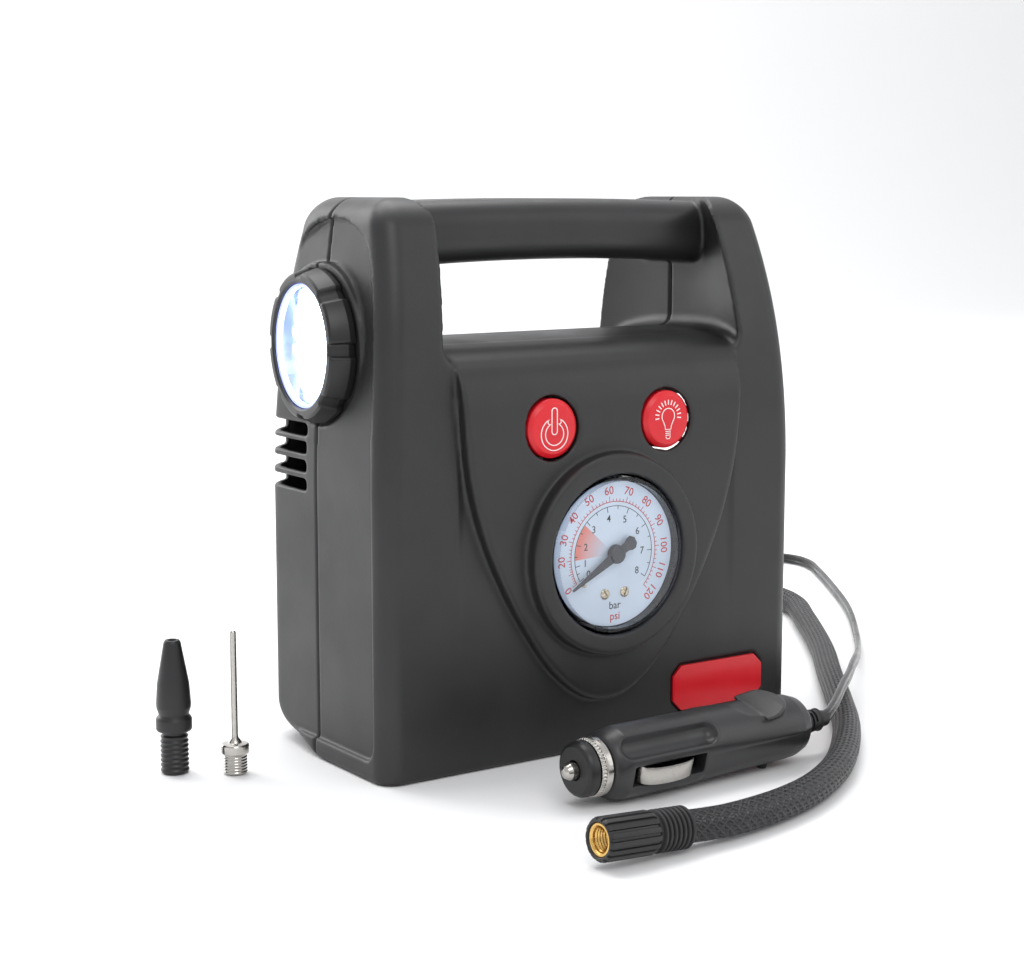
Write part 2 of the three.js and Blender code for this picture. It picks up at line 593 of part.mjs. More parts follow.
// ---------- braided air hose with its screw-on chuck ----------
const HOSE_FLOOR = HOSE_R + 0.1;
const hoseRoute = [[66, 56.4, 22], [66, 62, 22], [66.4, 72, 19], [69, 85, 12], [77, 101, 6.6],
  [92, 117, HOSE_FLOOR], [118, 134, HOSE_FLOOR], [147, 146, HOSE_FLOOR], [177, 150, HOSE_FLOOR],
  [199.5, 144, HOSE_FLOOR], [216, 127.5, HOSE_FLOOR], [222, 105, HOSE_FLOOR], [216, 83, HOSE_FLOOR],
  [198.6, 57, HOSE_FLOOR], [160.4, 4.5, HOSE_FLOOR], [133, -29, HOSE_FLOOR], [106.2, -62.7, HOSE_FLOOR],
  [80, -94, HOSE_FLOOR], [54.2, -119, HOSE_FLOOR], [37.3, -132, HOSE_FLOOR], [14.9, -144.4, 5.4],
  [-7.1, -151.6, 5.7], [-29.9, -155.4, 6.3], [-40, -155.7, 6.8], [-47.4, -155.45, 7.25]];
const CHUCK_R = 7;
const CHUCK_RISE = 3.5;
add('air_hose', tube(hoseRoute, HOSE_R, 10, 30), trimBlack);

const chuck = new THREE.Group();
chuck.position.set(-48, -155.4, 7.3);
chuck.rotation.y = THREE.MathUtils.degToRad(CHUCK_RISE);
model.add(chuck);
add('hose_boot', turned('x', [[0, -13.4], [6.8, -13.4], [6.8, -2], [5.9, 0], [0, 0]], 16),
  rubberBlack, chuck);
const FLUTES = 16;
const collarOutline = [];
for (let i = 0; i < FLUTES; i += 1) {
  for (const [r, part] of [[6.4, 0.05], [CHUCK_R, 0.15], [CHUCK_R, 0.6], [6.4, 0.7]]) {
    const turn = (i + part) / FLUTES * 2 * Math.PI;
    collarOutline.push([r * Math.cos(turn), r * Math.sin(turn)]);
  }
}
add('chuck_collar', toSolid(prism('x', collarOutline, -33.5, -13.7))
  .subtract(toSolid(rod('x', 5.3, -50, -18.5, 20))), trimBlack, chuck);
add('chuck_insert', pipe('x', 5, 3.9, -32.9, -19.1, 20), brass, chuck);

// ---------- vehicle plug ----------
const plug = new THREE.Group();
plug.position.copy(PLUG_TIP);
plug.rotation.order = 'ZYX';
plug.rotation.z = THREE.MathUtils.degToRad(PLUG_TURN);
plug.rotation.x = THREE.MathUtils.degToRad(PLUG_ROLL);
model.add(plug);

const CONTACT_FROM = 23;
const CONTACT_TO = 49;
const plugShell = turned('x', [[0, 14.2], [10.4, 14.2], [12.7, 20], [12.8, 58], [12.2, 74], [11.8, 96],
  [10.6, 103], [8, 105.5], [0, 105.5]], 20);
const contactSlot = toSolid(box(CONTACT_FROM - 1, CONTACT_TO + 3, -20, 20, -3.6, 3.6));
add('plug_body', cut(
  toSolid(plugShell),
  toSolid(rod('x', 6.4, 10, 56, 16)),
  contactSlot,
  toSolid(rod('y', 22, -6, 6, 24)).translate(80.5, 0, 32.2),
  toSolid(rod('x', 3.2, 98, 120, 12)),
), trimBlack, plug);
add('plug_ring', pipe('x', 10.2, 5.6, 9.3, 13.8, 20), nickel, plug);
add('plug_nose_cap', turned('x', [[3.5, 4.6], [8.2, 4.6], [9.5, 6.2], [9.5, 8.9], [5.2, 8.9], [5.2, 7],
  [3.5, 7], [3.5, 4.6]], 18), trimBlack, plug);
add('plug_tip', turned('x', [[0, 0], [1.6, 0.4], [3, 2.4], [3.1, 7.4], [4.6, 7.6], [4.6, 9.4], [0, 9.4]], 12),
  nickel, plug);
add('plug_fuse', join(
  toSolid(rod('x', 3.2, 13, 18.4, 12)),
  toSolid(rod('x', 2.9, 17.4, 37.4, 12)),
  toSolid(rod('x', 3.2, 36.4, 41.8, 12)),
), clearPlastic, plug);

// Spring behind the fuse: a helix of round wire.
const SPRING_TURNS = 4;
const springPoints = [];
for (let i = 0; i <= SPRING_TURNS * 6; i += 1) {
  const turn = i / 6 * 2 * Math.PI;
  springPoints.push([42.6 + i * 0.5, 3.6 * Math.cos(turn), 3.6 * Math.sin(turn)]);
}
add('fuse_spring', tube(springPoints, 0.45, 5, SPRING_TURNS * 7), steel, plug);

for (const [name, side] of [['front', -1], ['rear', 1]]) {
  const strip = [[CONTACT_FROM, 9.4], [CONTACT_FROM + 5, 13.1], [CONTACT_FROM + 13, 13.9],
    [CONTACT_TO - 5, 13.1], [CONTACT_TO, 9.4], [CONTACT_TO - 1.4, 8.9], [CONTACT_TO - 6, 12.2],
    [CONTACT_FROM + 13, 13], [CONTACT_FROM + 6, 12.2], [CONTACT_FROM + 1.4, 8.9]]
    .map(([x, y]) => [x, y * side]);
  if (side < 0) strip.reverse();
  add(`plug_contact_${name}`, prism('z', strip.reverse(), -3, 3), nickel, plug);
}
add('plug_strain_relief', turned('x', [[0, 105.8], [5, 105.8], [4.8, 115], [3.2, 119.2], [0, 119.2]], 16),
  rubberBlack, plug);

// ---------- power lead ----------
const LEAD_FLOOR = LEAD_R + 0.1;
const toCoil = [[GROMMET.x, 66.5, 16], [-20.1, 70, 15.5], [-20.6, 75, 14.7], [-21.4, 79.5, 14.2]];
add('lead_to_coil', tube(toCoil, LEAD_R, 8, 4), rubberBlack);
add('lead_coil', pipe('z', COIL_OUTER_R, COIL_INNER_R, 0, COIL_HEIGHT, 28)
  .translate(...COIL_CENTRE.toArray()), rubberBlack);
const leadRoute = [[25.6, 141, LEAD_FLOOR], [42, 142.5, LEAD_FLOOR], [60, 152, LEAD_FLOOR],
  [84, 172, LEAD_FLOOR], [112, 184, LEAD_FLOOR], [150, 191, LEAD_FLOOR], [196, 197, LEAD_FLOOR],
  [240, 202, LEAD_FLOOR], [262, 204.5, LEAD_FLOOR], [282, 205, LEAD_FLOOR], [299.7, 197.7, LEAD_FLOOR],
  [307, 181, LEAD_FLOOR], [303.6, 166, LEAD_FLOOR], [292.8, 148, LEAD_FLOOR], [270.7, 114.6, LEAD_FLOOR],
  [237.4, 68, LEAD_FLOOR], [198.5, 22.4, 3], [175, -2.5, 5], [150, -27.2, 9.9], [130, -45.5, 12.9],
  [111.4, -62.2, 14.2], [97, -74, 14.6], [84.5, -84.5, 14.4], [76, -91.3, 14], [69.5, -96, 13.5],
  [64.6, -98.9, 13.15]];
add('power_lead', tube(leadRoute, LEAD_R, 8, 56), rubberBlack);

// ---------- loose adapters standing beside the housing ----------
const nozzle = new THREE.Group();
nozzle.position.set(-142, 11, 0);
model.add(nozzle);
add('nozzle_adapter', turned('z', [[0, 0], [4.6, 0], [5, 0.6], [5, 13], [4.2, 13.6], [4.2, 15], [6.3, 15.4],
  [6.3, 20], [5.2, 21], [6.2, 24], [5.6, 32], [2.9, 47.5], [0, 47.5]], 14), trimBlack, nozzle);
const ballNeedle = new THREE.Group();
ballNeedle.position.set(-125, -2, 0);
model.add(ballNeedle);
add('ball_needle', turned('z', [[0, 0], [4, 0], [4.3, 0.5], [4.3, 7], [4.9, 7.4], [4.9, 10.6], [2, 11.2],
  [1.3, 12.4], [1.15, 51], [0, 51]], 12), nickel, ballNeedle);

export default model;
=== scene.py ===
import math

import bmesh
import bpy
import numpy as np
from mathutils import Matrix, Vector


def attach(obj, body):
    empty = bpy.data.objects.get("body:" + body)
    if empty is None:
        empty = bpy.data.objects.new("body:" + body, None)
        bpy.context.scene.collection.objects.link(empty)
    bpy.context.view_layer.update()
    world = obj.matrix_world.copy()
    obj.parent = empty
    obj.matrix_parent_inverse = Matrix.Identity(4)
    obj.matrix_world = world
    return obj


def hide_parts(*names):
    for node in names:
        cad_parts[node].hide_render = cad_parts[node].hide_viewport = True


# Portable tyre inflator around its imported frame. Shapes are worked out in millimetres and
# scaled to metres when a mesh is made. +Z is up, and the gauge and the buttons face -Y.
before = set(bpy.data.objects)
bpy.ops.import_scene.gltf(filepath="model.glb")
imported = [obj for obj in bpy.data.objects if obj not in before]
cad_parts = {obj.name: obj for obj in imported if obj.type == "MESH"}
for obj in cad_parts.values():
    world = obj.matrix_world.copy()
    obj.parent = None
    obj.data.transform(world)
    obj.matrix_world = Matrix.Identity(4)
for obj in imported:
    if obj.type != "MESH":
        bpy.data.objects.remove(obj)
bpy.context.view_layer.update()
MM = 0.001
HOUSING = "housing"


# ---------- camera ----------
def add_camera():
    data = bpy.data.cameras.new("camera")
    data.lens = 70.34
    data.sensor_width = 36
    camera = bpy.data.objects.new("camera", data)
    camera.location = (-0.4308, -0.6174, 0.2021)
    camera.rotation_euler = (math.radians(90 - 8.345), 0, math.radians(-34.54))
    bpy.context.scene.collection.objects.link(camera)
    bpy.context.scene.camera = camera


add_camera()


# ---------- materials ----------
class Shader:
    """A Principled material with short helpers for its procedural inputs."""

    def __init__(self, name, colour, roughness, metallic=0.0, **sockets):
        self.material = bpy.data.materials.new(name)
        self.material.use_nodes = True
        self.nodes = self.material.node_tree.nodes
        self.links = self.material.node_tree.links
        self.surface = self.nodes["Principled BSDF"]
        self.surface.inputs["Base Color"].default_value = (*colour, 1)
        self.surface.inputs["Roughness"].default_value = roughness
        self.surface.inputs["Metallic"].default_value = metallic
        for socket, value in sockets.items():
            self.surface.inputs[socket.replace("_", " ")].default_value = value
        self.place = self.nodes.new("ShaderNodeTexCoord").outputs["Object"]
        self.height = None

    def node(self, kind, **values):
        made = self.nodes.new("ShaderNode" + kind)
        for key, value in values.items():
            if key in made.inputs:
                made.inputs[key].default_value = value
            else:
                setattr(made, key, value)
        return made

    def noise(self, scale, detail=2.0, stretch=(1, 1, 1)):
        spread = self.node("Mapping", Scale=stretch)
        self.links.new(self.place, spread.inputs["Vector"])
        made = self.node("TexNoise", Scale=scale, Detail=detail)
        self.links.new(spread.outputs["Vector"], made.inputs["Vector"])
        return made.outputs["Fac"]

    def between(self, factor, low, high, start=0.3, stop=0.7):
        made = self.nodes.new("ShaderNodeMapRange")
        for key, value in (("From Min", start), ("From Max", stop), ("To Min", low), ("To Max", high)):
            made.inputs[key].default_value = value
        self.links.new(factor, made.inputs["Value"])
        return made.outputs["Result"]

    def math(self, operation, first, second):
        made = self.nodes.new("ShaderNodeMath")
        made.operation = operation
        for socket, value in zip(made.inputs, (first, second)):
            if hasattr(value, "links"):
                self.links.new(value, socket)
            else:
                socket.default_value = value
        return made.outputs[0]

    def tint(self, factor, low, high):
        made = self.nodes.new("ShaderNodeMix")
        made.data_type = "RGBA"
        made.inputs["A"].default_value = (*low, 1)
        made.inputs["B"].default_value = (*high, 1)
        self.links.new(factor, made.inputs["Factor"])
        made_colour = made.outputs["Result"]
        self.links.new(made_colour, self.surface.inputs["Base Color"])
        return made_colour

    def rough(self, factor, low, high, start=0.3, stop=0.7):
        self.links.new(self.between(factor, low, high, start, stop), self.surface.inputs["Roughness"])

    def bump(self, factor, distance, strength=1.0):
        made = self.node("Bump", Strength=strength, Distance=distance)
        self.links.new(factor, made.inputs["Height"])
        if self.height is not None:
            self.links.new(self.height, made.inputs["Normal"])
        self.height = made.outputs["Normal"]
        self.links.new(self.height, self.surface.inputs["Normal"])


def grained_plastic(name, colour, roughness, grain=0.00003, grain_scale=1500):
    """Moulded plastic: a fine spark-eroded grain with softly uneven gloss and colour."""
    shader = Shader(name, colour, roughness)
    patches = shader.noise(38, 3)
    shader.rough(patches, roughness - 0.05, roughness + 0.07)
    shader.tint(shader.between(shader.noise(60, 4), 0, 1), colour, [c * 1.14 + 0.001 for c in colour])
    shader.bump(shader.noise(grain_scale, 2), grain)
    return shader.material


def braided(name, turns, pitch):
    """Braided sleeve: two crossing sets of strands on the hose's own map, u round and v along in mm."""
    shader = Shader(name, (0.018, 0.018, 0.02), 0.42)
    split = shader.nodes.new("ShaderNodeSeparateXYZ")
    uv = shader.nodes.new("ShaderNodeUVMap")
    shader.links.new(uv.outputs["UV"], split.inputs["Vector"])
    round_about = shader.math("MULTIPLY", split.outputs["X"], turns * 2 * math.pi)
    along = shader.math("MULTIPLY", split.outputs["Y"], 2 * math.pi / pitch)
    right = shader.math("SINE", shader.math("ADD", round_about, along), 0)
    left = shader.math("SINE", shader.math("SUBTRACT", round_about, along), 0)
    over = shader.math("MAXIMUM", right, left)
    shader.bump(over, 0.0007, 0.9)
    # Darker colour down between the strands, where the braid sinks: painted shade in the gaps of the weave.
    shader.tint(shader.between(over, 0, 1, 0, 1), (0.003, 0.003, 0.0035), (0.022, 0.022, 0.024))
    shader.rough(shader.noise(900), 0.35, 0.55)
    return shader.material


def metal(name, colour, roughness, stretch=(1, 1, 1), scale=900, scratch=0.000012):
    shader = Shader(name, colour, roughness, 1.0)
    lines = shader.noise(scale, 3, stretch)
    shader.rough(lines, max(0.04, roughness - 0.07), roughness + 0.1)
    shader.tint(shader.noise(50, 3), [c * 0.86 for c in colour], colour)
    shader.bump(lines, scratch)
    return shader.material


def thin_clear(name, tint, roughness=0.03, gloss=0.9):
    """A thin clear moulding: see-through, with more gloss where it is seen at a glance."""
    shader = Shader(name, tint, roughness)
    output = shader.nodes["Material Output"]
    shader.nodes.remove(shader.surface)
    clear = shader.node("BsdfTransparent", Color=(*tint, 1))
    shine = shader.node("BsdfAnisotropic", Roughness=roughness)
    facing = shader.node("LayerWeight", Blend=0.5)
    glance = shader.math("POWER", facing.outputs["Facing"], 4.0)
    share = shader.math("ADD", shader.math("MULTIPLY", glance, gloss), 0.035)
    mix = shader.nodes.new("ShaderNodeMixShader")
    shader.links.new(share, mix.inputs["Fac"])
    shader.links.new(clear.outputs["BSDF"], mix.inputs[1])
    shader.links.new(shine.outputs["BSDF"], mix.inputs[2])
    shader.links.new(mix.outputs["Shader"], output.inputs["Surface"])
    return shader.material


def lit(name, colour, strength):
    shader = Shader(name, (0.8, 0.8, 0.8), 0.4)
    shader.surface.inputs["Emission Color"].default_value = (*colour, 1)
    shader.surface.inputs["Emission Strength"].default_value = strength
    return shader.material


CHARCOAL = (0.0125, 0.0125, 0.013)
BLACK = (0.007, 0.007, 0.0075)
RED = (0.6, 0.006, 0.014)
PRINT_RED = (0.5, 0.012, 0.012)
PRINT_BLACK = (0.006, 0.006, 0.008)

housing_plastic = grained_plastic("housing_plastic", CHARCOAL, 0.42)
black_plastic = grained_plastic("black_plastic", BLACK, 0.38, 0.00002)
plug_plastic = grained_plastic("plug_plastic", (0.02, 0.02, 0.021), 0.36, 0.00003, 1100)
button_red = grained_plastic("button_red", RED, 0.34, 0.000015)
badge_red = grained_plastic("badge_red", (0.6, 0.006, 0.014), 0.3, 0.00001)
rubber = grained_plastic("rubber", (0.011, 0.011, 0.012), 0.55, 0.00005, 900)
sheath = grained_plastic("sheath", (0.011, 0.011, 0.012), 0.27, 0.000008)
hose_sleeve = braided("hose_sleeve", 10, 3.6)
nickel = metal("nickel", (0.5, 0.48, 0.45), 0.2)
brass = metal("brass", (0.72, 0.46, 0.15), 0.22)
steel = metal("steel", (0.5, 0.5, 0.52), 0.3)
cast_metal = metal("cast_metal", (0.5, 0.5, 0.51), 0.48, scale=400, scratch=0.00008)
reflector_metal = metal("reflector_metal", (0.4, 0.52, 0.95), 0.1)
clear_lens = thin_clear("clear_lens", (0.97, 0.985, 1.0))
lamp_clear = thin_clear("lamp_clear", (0.9, 0.94, 1.0))
dial_face = grained_plastic("dial_face", (0.6, 0.66, 0.74), 0.5, 0.000004)
print_red = grained_plastic("print_red", PRINT_RED, 0.5, 0.000002)
print_black = grained_plastic("print_black", PRINT_BLACK, 0.5, 0.000002)
print_pale = grained_plastic("print_pale", (0.85, 0.72, 0.72), 0.45, 0.000002)
board_green = grained_plastic("board_green", (0.03, 0.16, 0.08), 0.45)
wire_red = grained_plastic("wire_red", (0.35, 0.012, 0.012), 0.4)
lamp_white = lit("lamp_white", (0.42, 0.6, 1.0), 1.6)
led_bright = lit("led_bright", (0.85, 0.93, 1.0), 7.0)
lamp_blue = lit("lamp_blue", (0.05, 0.13, 1.0), 0.8)
needle_black = grained_plastic("needle_black", (0.035, 0.035, 0.04), 0.45, 0.000003)
screw_metal = metal("screw_metal", (0.6, 0.5, 0.36), 0.25)
rim_clear = thin_clear("rim_clear", (0.86, 0.89, 0.94), 0.06, 1.0)


# ---------- meshes ----------
def new_piece(name, vertices, faces, material, body=HOUSING, replaces=(), slot=None, smooth=True, sharp=38):
    """A mesh object from points in millimetres, riding on a CAD body."""
    mesh = bpy.data.meshes.new(name)
    mesh.from_pydata([tuple(v) for v in np.asarray(vertices, float) * MM], [], [tuple(f) for f in faces])
    mesh.validate()
    if len(faces) < 60000:
        shape = bmesh.new()
        shape.from_mesh(mesh)
        bmesh.ops.recalc_face_normals(shape, faces=shape.faces)
        shape.to_mesh(mesh)
        shape.free()
    mesh.materials.append(material)
    if smooth:
        mesh.shade_smooth()
        mesh.set_sharp_from_angle(angle=math.radians(sharp))
    piece = bpy.data.objects.new(name, mesh)
    bpy.context.scene.collection.objects.link(piece)
    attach(piece, body)
    if replaces:
        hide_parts(*replaces)
    return piece


AXIS_FRAMES = {
    "x": ((0, 1, 0), (0, 0, 1), (1, 0, 0)),
    "y": ((0, 0, 1), (1, 0, 0), (0, 1, 0)),
    "z": ((1, 0, 0), (0, 1, 0), (0, 0, 1)),
}


def fillet(profile, radius, steps=4):
    """The open profile with each inner corner rounded by an arc of about the radius."""
    points = [Vector(p) for p in profile]
    out = [points[0]]
    for before, corner, after in zip(points, points[1:], points[2:]):
        a, b = (before - corner), (after - corner)
        if a.length < 1e-6 or b.length < 1e-6:
            continue
        angle = a.angle(b)
        if angle > math.radians(172):
            out.append(corner)
            continue
        reach = min(radius / math.tan(angle / 2), a.length * 0.48, b.length * 0.48)
        start, end = corner + a.normalized() * reach, corner + b.normalized() * reach
        for i in range(steps + 1):
            t = i / steps
            out.append(start * (1 - t) ** 2 + corner * 2 * t * (1 - t) + end * t * t)
    out.append(points[-1])
    return [tuple(p) for p in out]


def lathe(profile, steps=96, wave=None):
    """Points and faces of a turned piece about +Z from [radius, height] points; wave(turn, r, z) scales r."""
    turns = np.linspace(0, 2 * math.pi, steps, endpoint=False)
    vertices, rings = [], []
    for r, z in profile:
        if r < 1e-6:
            rings.append([len(vertices)] * steps)
            vertices.append((0, 0, z))
            continue
        rings.append(list(range(len(vertices), len(vertices) + steps)))
        for turn in turns:
            reach = r * (wave(turn, r, z) if wave else 1)
            vertices.append((reach * math.cos(turn), reach * math.sin(turn), z))
    faces = []
    for low, high in zip(rings, rings[1:]):
        for i in range(steps):
            j = (i + 1) % steps
            corners = [low[i], low[j], high[j], high[i]]
            kept = list(dict.fromkeys(corners))
            if len(kept) > 2:
                faces.append(kept)
    return vertices, faces


def turned(name, axis, profile, material, at=(0, 0, 0), turn=None, radius=0.3, steps=96, wave=None, **extra):
    """A turned piece about an axis, its profile corners rounded, optionally turned in space."""
    vertices, faces = lathe(fillet(profile, radius), steps, wave)
    points = np.array(vertices) @ np.array(AXIS_FRAMES[axis])
    if turn is not None:
        points = points @ np.array(turn).T
    return new_piece(name, points + np.array(at, float), faces, material, **extra)


def smooth_route(points, spacing):
    """Points along a smooth curve through the given ones, as a centripetal Catmull-Rom curve."""
    p = np.array(points, float)
    p = np.vstack([2 * p[0] - p[1], p, 2 * p[-1] - p[-2]])
    out = []
    for a, b, c, d in zip(p, p[1:], p[2:], p[3:]):
        t1 = np.linalg.norm(b - a) ** 0.5
        t2 = t1 + np.linalg.norm(c - b) ** 0.5
        t3 = t2 + np.linalg.norm(d - c) ** 0.5
        count = max(1, round(np.linalg.norm(c - b) / spacing))
        for t in t1 + (t2 - t1) * np.arange(count) / count:
            ab = (t1 - t) / t1 * a + t / t1 * b
            bc = (t2 - t) / (t2 - t1) * b + (t - t1) / (t2 - t1) * c
            cd = (t3 - t) / (t3 - t2) * c + (t - t2) / (t3 - t2) * d
            abc = (t2 - t) / t2 * ab + t / t2 * bc
            bcd = (t3 - t) / (t3 - t1) * bc + (t - t1) / (t3 - t1) * cd
            out.append((t2 - t) / (t2 - t1) * abc + (t - t1) / (t2 - t1) * bcd)
    out.append(p[-2])
    return np.array(out)


def sweep(name, path, section, material, **extra):
    """A tube along the path. section is its outline as (sideways, up) points."""
    tangent = np.gradient(path, axis=0)
    tangent /= np.linalg.norm(tangent, axis=1)[:, None]
    side = np.cross(tangent, (0, 0, 1))
    side /= np.linalg.norm(side, axis=1)[:, None]
    up = np.cross(side, tangent)
    along = np.concatenate([[0], np.cumsum(np.linalg.norm(np.diff(path, axis=0), axis=1))])
    outline = np.array(section, float)
    count = len(outline)
    rings = (path[:, None] + outline[None, :, 0, None] * side[:, None]
             + outline[None, :, 1, None] * up[:, None]).reshape(-1, 3)
    faces = []
    maps = []
    for i in range(len(path) - 1):
        for j in range(count):
            k = (j + 1) % count
            faces.append((i * count + j, i * count + k, (i + 1) * count + k, (i + 1) * count + j))
            maps.extend([(j / count, along[i]), ((j + 1) / count, along[i]),
                         ((j + 1) / count, along[i + 1]), (j / count, along[i + 1])])
    last = (len(path) - 1) * count
    faces.append(tuple(range(count))[::-1])
    faces.append(tuple(range(last, last + count)))
    maps.extend([(0, 0)] * (2 * count))
    piece = new_piece(name, rings, faces, material, **extra)
    layer = piece.data.uv_layers.new(name="UVMap")
    layer.data.foreach_set("uv", np.array(maps, np.float32).ravel())
    return piece


def ring_outline(radius, sides):
    turns = np.linspace(0, 2 * math.pi, sides, endpoint=False)
    return [(radius * math.cos(t), radius * math.sin(t)) for t in turns]


# ---------- cords ----------
HOSE_R = 5.2
LEAD_W, LEAD_T = 5.2, 2.4
GLAND = (66, 22)
GROMMET = (-20, 16)


def add_hose():
    floor = HOSE_R + 0.1
    route = [(66, 56.4, 22), (66, 62, 22), (66.4, 72, 19), (69, 85, 12), (77, 101, 6.6), (92, 117, floor),
             (118, 134, floor), (147, 146, floor), (177, 150, floor), (199.5, 144, floor),
             (216, 127.5, floor), (222, 105, floor), (216, 83, floor), (198.6, 57, floor),
             (160.4, 4.5, floor), (133, -29, floor), (106.2, -62.7, floor), (80, -94, floor),
             (54.2, -119, floor), (37.3, -132, floor), (14.9, -144.4, 5.4), (-7.1, -151.6, 5.7),
             (-29.9, -155.4, 6.3), (-40, -155.7, 6.8), (-47.4, -155.45, 7.25)]
    path = smooth_route(route, 1.0)
    hose = sweep("air_hose_sleeve", path, ring_outline(HOSE_R, 40), hose_sleeve,
                 replaces=["air_hose"], slot="hose_braid")
    return hose, path


def coil_turns():
    """The stowed lead: two layers of flat turns on edge, wound inwards above and outwards below."""
    centre, outer, pitch = (6, 106), 35, 2.45
    upper, lower, total = 8.1, 2.75, 13.25
    points = []
    count = 420
    for i in range(count + 1):
        share = i / count
        turns = total * share
        radius = outer - pitch * (turns if share < 0.5 else total - turns)
        drop = min(1, max(0, (turns - total / 2 + 0.3) / 0.6))
        drop = drop * drop * (3 - 2 * drop)
        angle = math.pi - 2 * math.pi * turns
        points.append((centre[0] + radius * math.cos(angle), centre[1] + radius * math.sin(angle),
                       upper + (lower - upper) * drop))
    return points


def flat_twin(width, thick, steps=7):
    """Outline of a flat two-core lead standing on edge: two lobes with a shallow groove between."""
    lobe = thick / 2
    middle = width / 2 - lobe
    turns = np.linspace(-0.9, math.pi + 0.9, 2 * steps)
    right = [(lobe * math.cos(a), middle + lobe * math.sin(a)) for a in turns]
    lower = [(-x, -y) for x, y in right]
    return right + lower


def add_lead():
    floor = 2.7
    entry = [(-20, 66.3, 16), (-20.2, 72, 14.9), (-23.2, 82, 11.7), (-27, 94, 8.9)]
    away = [(25.6, 141, floor), (42, 142.5, floor), (60, 152, floor), (84, 172, floor), (112, 184, floor),
            (150, 191, floor), (196, 197, floor), (240, 202, floor), (262, 204.5, floor), (282, 205, floor),
            (299.7, 197.7, floor), (307, 181, floor), (303.6, 166, floor), (292.8, 148, floor),
            (270.7, 114.6, floor), (237.4, 68, floor), (198.5, 22.4, 3), (175, -2.5, 5), (150, -27.2, 9.9),
            (130, -45.5, 12.9), (111.4, -62.2, 14.2), (97, -74, 14.6), (84.5, -84.5, 14.4), (76, -91.3, 14),
            (69.5, -96, 13.5), (63.8, -99.4, 13.1), (56, -100.25, 13), (38, -100.6, 13), (6, -101.3, 13)]
    path = smooth_route(entry + coil_turns() + away, 1.6)
    lead = sweep("lead_sheath", path, flat_twin(LEAD_W, LEAD_T), sheath,
                 replaces=["lead_to_coil", "lead_coil", "power_lead"], slot="lead_sheath")
    return lead, path


hose, hose_path = add_hose()
lead, lead_path = add_lead()


# ---------- housing shells, sampled as a distance field ----------
STEP = 0.85


def smooth_steps(value, low, high):
    t = np.clip((value - low) / (high - low), 0, 1)
    return t * t * (3 - 2 * t)


def meet(a, b, radius):
    """Where both fields are solid, with the edge between them rounded."""
    u, v = np.maximum(a + radius, 0), np.maximum(b + radius, 0)
    return np.minimum(np.maximum(a, b), -radius) + np.sqrt(u * u + v * v)


def unite(a, b, radius):
    return -meet(-a, -b, radius)


def carve(a, b, radius):
    return meet(a, -b, radius)


def outline_distance(outline, u, v):
    """Signed distance on the (u, v) grid to a closed outline, less than zero inside."""
    points = np.array(outline, float)
    ends = np.roll(points, -1, axis=0)
    nearest = np.full(np.broadcast(u, v).shape, 1e9)
    inside = np.zeros(nearest.shape, bool)
    for (x0, y0), (x1, y1) in zip(points, ends):
        dx, dy = x1 - x0, y1 - y0
        if dx * dx + dy * dy < 1e-12:
            continue
        t = np.clip(((u - x0) * dx + (v - y0) * dy) / (dx * dx + dy * dy), 0, 1)
        nearest = np.minimum(nearest, (u - x0 - t * dx) ** 2 + (v - y0 - t * dy) ** 2)
        if abs(dy) > 1e-12:
            spans = (y0 > v) != (y1 > v)
            inside ^= spans & (u < x0 + (v - y0) * dx / dy)
    return np.where(inside, -1, 1) * np.sqrt(nearest)


def smooth_outline(points, spacing=2.0):
    """An open smooth curve through (a, b) points."""
    return smooth_route([(a, b, 0) for a, b in points], spacing)[:, :2].tolist()


HEIGHT, HALF_WIDTH, FRONT, REAR = 200, 92.4, 49.3, 45
SHIELD_Y, GAUGE_Z, BUTTON_X, BUTTON_Z = -54, 73.4, 25.4, 120
SURROUND_Y, SURROUND_R = -59.6, 36.3
LAMP_SEAT_X, LAMP_Z = -88.3, 148.5
SCREWS = [(-78, 186), (78, 186), (-83, 84), (83, 84), (-82, 11), (82, 11)]
WALL = 2.5


